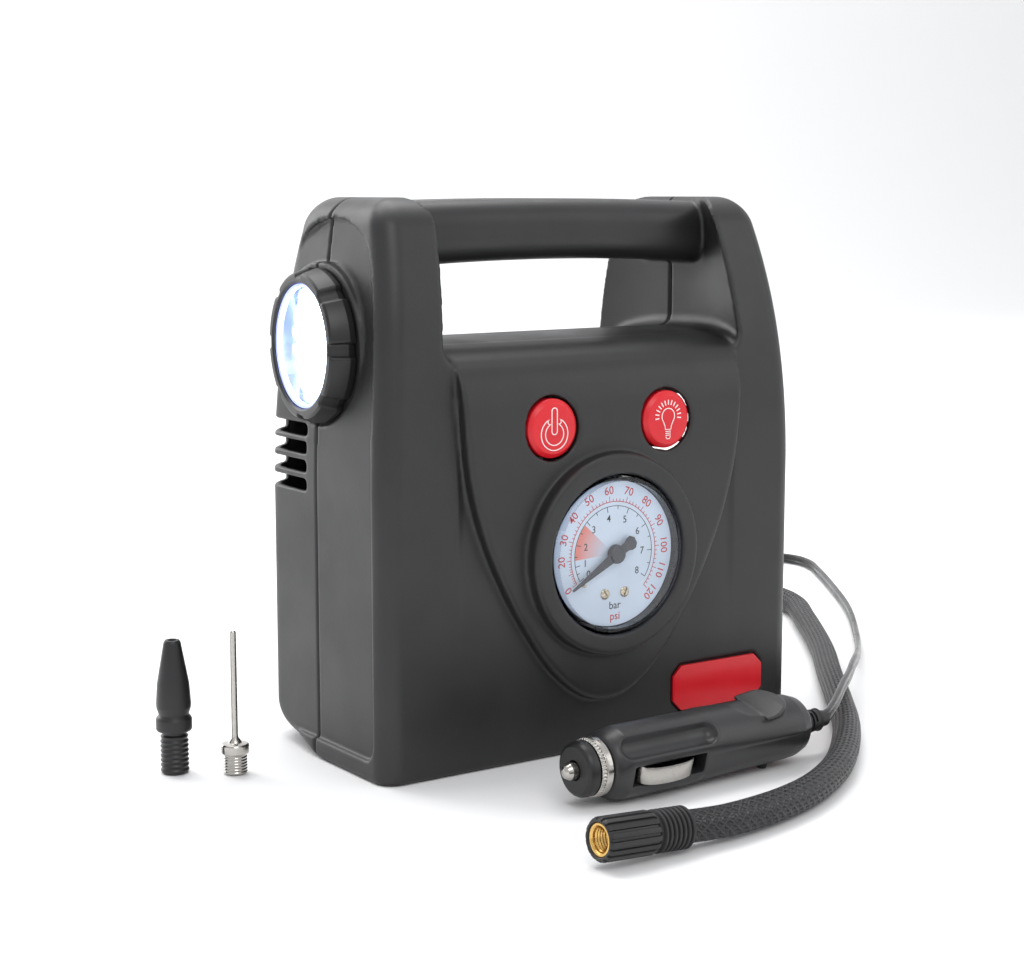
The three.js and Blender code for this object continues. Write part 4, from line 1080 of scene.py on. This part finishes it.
def plug_field(x, y, z):
    """The moulded plug body as a distance field in its own axes."""
    radius = np.interp(x, [12.5, 14.2, 16.5, 20, 58, 74, 95, 99, 103, 105.5],
                       [9.2, 10.0, 11.4, 12.8, 12.8, 12.3, 11.8, 11.5, 10.2, 8])
    radius = radius - 0.6 * smooth_steps(x, 50, 54) * smooth_steps(-z, -3.2, -2.8)
    round_body = np.hypot(y, z) - radius
    body = meet(round_body, np.maximum(14.2 - x, x - 105.4), 1.2)
    body = meet(body, np.abs(y) - 11.7, 0.8)
    for side in (-1, 1):
        across = np.hypot(y - 8.9 * side, z - 10.6)
        groove = np.hypot(np.maximum(np.abs(x - 37.5) - 16.5, 0), across) - 4.5
        body = carve(body, groove, 0.7)
    body = carve(body, np.hypot(x - 80.5, z - 33.2) - 22.6, 0.5)
    rim = meet(np.hypot((x - 82.5) / 1.25, y) - 9.3, np.maximum(z - 12.9, 9.5 - z), 0.4)
    rim = carve(np.maximum(rim, 80.5 - x), np.hypot(x - 79, z - 33.8) - 23, 0.5)
    body = unite(body, rim, 0.5)
    bump = meet(np.hypot(x - 88, y + 3) - 2.2, np.abs(z + 6.4) - 6.3, 0.8)
    body = unite(body, bump, 0.6)
    slot_box = np.maximum(np.maximum(CONTACT_FROM - 1.5 - x, x - CONTACT_TO - 3.5), np.abs(z) - 3.7)
    body = carve(body, slot_box, 0.3)
    cavity = np.maximum(np.hypot(y, z) - 6.4, np.maximum(10 - x, x - 56))
    body = np.maximum(body, -cavity)
    return np.maximum(body, -np.maximum(np.hypot(y, z) - 3.4, 97 - x))


def plug_place(vertices):
    return np.asarray(vertices, float) @ np.array(PLUG_TURN).T + np.array(PLUG_AT)


def add_plug_body():
    step = 0.45
    low, high = np.array((12.5, -14.5, -14.5)), np.array((107, 14.5, 14.5))
    counts = np.ceil((high - low) / step).astype(int) + 1
    x = (low[0] + step * np.arange(counts[0]))[:, None, None]
    y = (low[1] + step * np.arange(counts[1]))[None, :, None]
    z = (low[2] + step * np.arange(counts[2]))[None, None, :]
    vertices, faces = surface_net(plug_field(x, y, z) + 0 * (x + y + z), low, step)
    new_piece("plug_moulding", plug_place(relax(vertices, faces, 2)), faces, plug_plastic,
              replaces=["plug_body"], slot="black_plastic", sharp=180)


def add_plug_ends():
    lay = {"at": PLUG_AT, "turn": PLUG_TURN}

    def knurl(turn, r, z):
        return 1 - 0.035 * (0.5 + 0.5 * math.cos(turn * 48)) * (r > 9.7) * (z < 10.8)

    ring = [(5.7, 9.2), (9.6, 9.1), (10.0, 9.4), (10.0, 10.8), (9.7, 11.1), (10.1, 11.5), (10.1, 13.4),
            (9.8, 13.8), (5.7, 13.8), (5.7, 9.2)]
    turned("plug_ring_knurled", "x", ring, nickel, radius=0.2, steps=360, wave=knurl, replaces=["plug_ring"],
           slot="nickel", **lay)
    cap = [(3.5, 4.6), (7.9, 4.6), (8.9, 5.3), (9.4, 6.4), (9.4, 8.9), (5.2, 8.9), (5.2, 7), (3.5, 7),
           (3.5, 4.6)]
    turned("plug_nose", "x", cap, black_plastic, radius=0.4, replaces=["plug_nose_cap"], slot="black_plastic",
           **lay)
    tip = [(0, 0), (1.1, 0.15), (2.2, 0.9), (2.95, 2.3), (3.05, 4.2), (3.1, 7.4), (4.6, 7.6), (4.6, 9.4),
           (0, 9.4)]
    turned("plug_tip_pin", "x", tip, nickel, radius=0.4, body="plug_tip", replaces=["plug_tip"],
           slot="nickel", **lay)

    def slotted(turn, r, z):
        deep = (r > 3.9) * (106.6 < z < 113.6)
        rib = ((z - 106.6) // 1.9) % 2
        gap = abs(math.sin(turn + rib * math.pi / 2)) > 0.34
        return 1 - 0.2 * deep * gap * (((z - 106.6) % 1.9) > 0.75)

    relief = [(0, 105.6), (4.9, 105.6)]
    relief += [(5.0 - 0.03 * i, 105.8 + 0.2 * i) for i in range(43)]
    relief += [(4.2, 114.8), (3.2, 115.6), (2.8, 119.1), (0, 119.1)]
    turned("plug_cord_relief", "x", relief, rubber, radius=0.02, steps=120, wave=slotted,
           replaces=["plug_strain_relief"], slot="rubber", **lay)


def add_contacts():
    """Sprung side contacts: bent strips that stand out through the plug's slots."""
    bend = smooth_outline([(24, 9.3), (25.6, 11.7), (28.6, 13.2), (36, 13.9), (43.5, 13.1), (46.8, 11.4),
                           (48, 9.3)], 0.7)
    line = np.array(bend)
    along = np.gradient(line, axis=0)
    along /= np.linalg.norm(along, axis=1)[:, None]
    inner = line + np.stack([along[:, 1], -along[:, 0]], 1) * 0.75
    for name, side in (("front", -1), ("rear", 1)):
        vertices, faces = [], []
        count = len(line)
        for half in (-3.1, 3.1):
            vertices += [(px, py * side, half) for px, py in line]
            vertices += [(px, py * side, half) for px, py in inner]
        for i in range(count - 1):
            outer_a, inner_a, outer_b, inner_b = i, count + i, 2 * count + i, 3 * count + i
            faces += [(outer_a, outer_a + 1, outer_b + 1, outer_b),
                      (inner_a, inner_b, inner_b + 1, inner_a + 1),
                      (outer_a, inner_a, inner_a + 1, outer_a + 1),
                      (outer_b, outer_b + 1, inner_b + 1, inner_b)]
        faces += [(0, 2 * count, 3 * count, count), (count - 1, 2 * count - 1, 4 * count - 1, 3 * count - 1)]
        if side > 0:
            faces = [face[::-1] for face in faces]
        piece = new_piece(f"plug_spring_{name}", plug_place(vertices), faces, nickel,
                          body=f"plug_contact_{name}", replaces=[f"plug_contact_{name}"], slot="nickel")
        soften(piece, 0.18, 2, 50)


add_plug_body()
add_plug_ends()
add_contacts()


# ---------- finish of the CAD nodes that stay ----------
KEPT = {
    "power_switch": black_plastic, "light_switch": black_plastic, "gauge_case": steel, "gauge_stem": brass,
    "bourdon_tube": brass, "gauge_movement": brass, "motor_can": steel, "motor_end_cap": black_plastic,
    "motor_pinion": brass, "crank_gear": steel, "crank_axle": steel, "gear_frame": steel,
    "pump_cylinder": cast_metal, "cylinder_head": cast_metal, "piston_rod": cast_metal,
    "outlet_air_line": rubber, "gauge_air_line": rubber, "motor_wire": wire_red, "lamp_wire": wire_red,
    "supply_wire": sheath, "plug_fuse": clear_lens, "fuse_spring": steel,
}
for node, material in KEPT.items():
    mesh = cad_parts[node].data
    mesh.materials.clear()
    mesh.materials.append(material)


# ---------- floor and light ----------
def add_stage():
    mesh = bpy.data.meshes.new("floor")
    wide, back, front, bend = 5, 2.2, 2.5, 0.5
    rows = [(-front, 0)] + [(back - bend + bend * math.sin(a), bend - bend * math.cos(a))
                            for a in np.linspace(0, math.pi / 2, 12)] + [(back, 2.2)]
    points = [(x, y, z - 0.0002) for y, z in rows for x in (-wide, wide)]
    faces = [(2 * i, 2 * i + 1, 2 * i + 3, 2 * i + 2) for i in range(len(rows) - 1)]
    mesh.from_pydata(points, [], faces)
    mesh.shade_smooth()
    floor = Shader("floor_paper", (0.9, 0.9, 0.9), 0.7)
    floor.bump(floor.noise(300), 0.0001, 0.2)
    mesh.materials.append(floor.material)
    piece = bpy.data.objects.new("floor", mesh)
    bpy.context.scene.collection.objects.link(piece)


def add_light(name, location, target, size, power, colour=(1, 1, 1)):
    data = bpy.data.lights.new(name, "AREA")
    data.shape = "RECTANGLE"
    data.size, data.size_y = size
    data.energy = power
    data.color = colour
    lamp = bpy.data.objects.new(name, data)
    lamp.location = location
    lamp.rotation_euler = (Vector(target) - Vector(location)).to_track_quat("-Z", "Y").to_euler()
    bpy.context.scene.collection.objects.link(lamp)


def add_world():
    world = bpy.data.worlds.new("studio")
    world.use_nodes = True
    world.node_tree.nodes["Background"].inputs["Color"].default_value = (0.97, 0.98, 1, 1)
    world.node_tree.nodes["Background"].inputs["Strength"].default_value = 0.85
    bpy.context.scene.world = world


add_stage()
add_world()
add_light("key", (-0.5, -1.5, 1.6), (0, 0, 0.1), (0.9, 0.9), 9)
add_light("fill", (1.4, -1.3, 0.9), (0, 0, 0.1), (1.0, 1.2), 4)
add_light("top", (0.1, 0.5, 1.5), (0, 0.05, 0.1), (1.4, 0.9), 16)
add_light("rear_left", (-0.6, 1.6, 0.8), (0, 0.05, 0.1), (0.8, 1.2), 10)
add_light("backdrop_wash", (0.3, 1.2, 1.7), (0.6, 2.2, 0.5), (2.4, 0.6), 14)

# Plain display of colours, so that the floor stays white and the reds stay strong.
bpy.context.scene.view_settings.view_transform = "Standard"
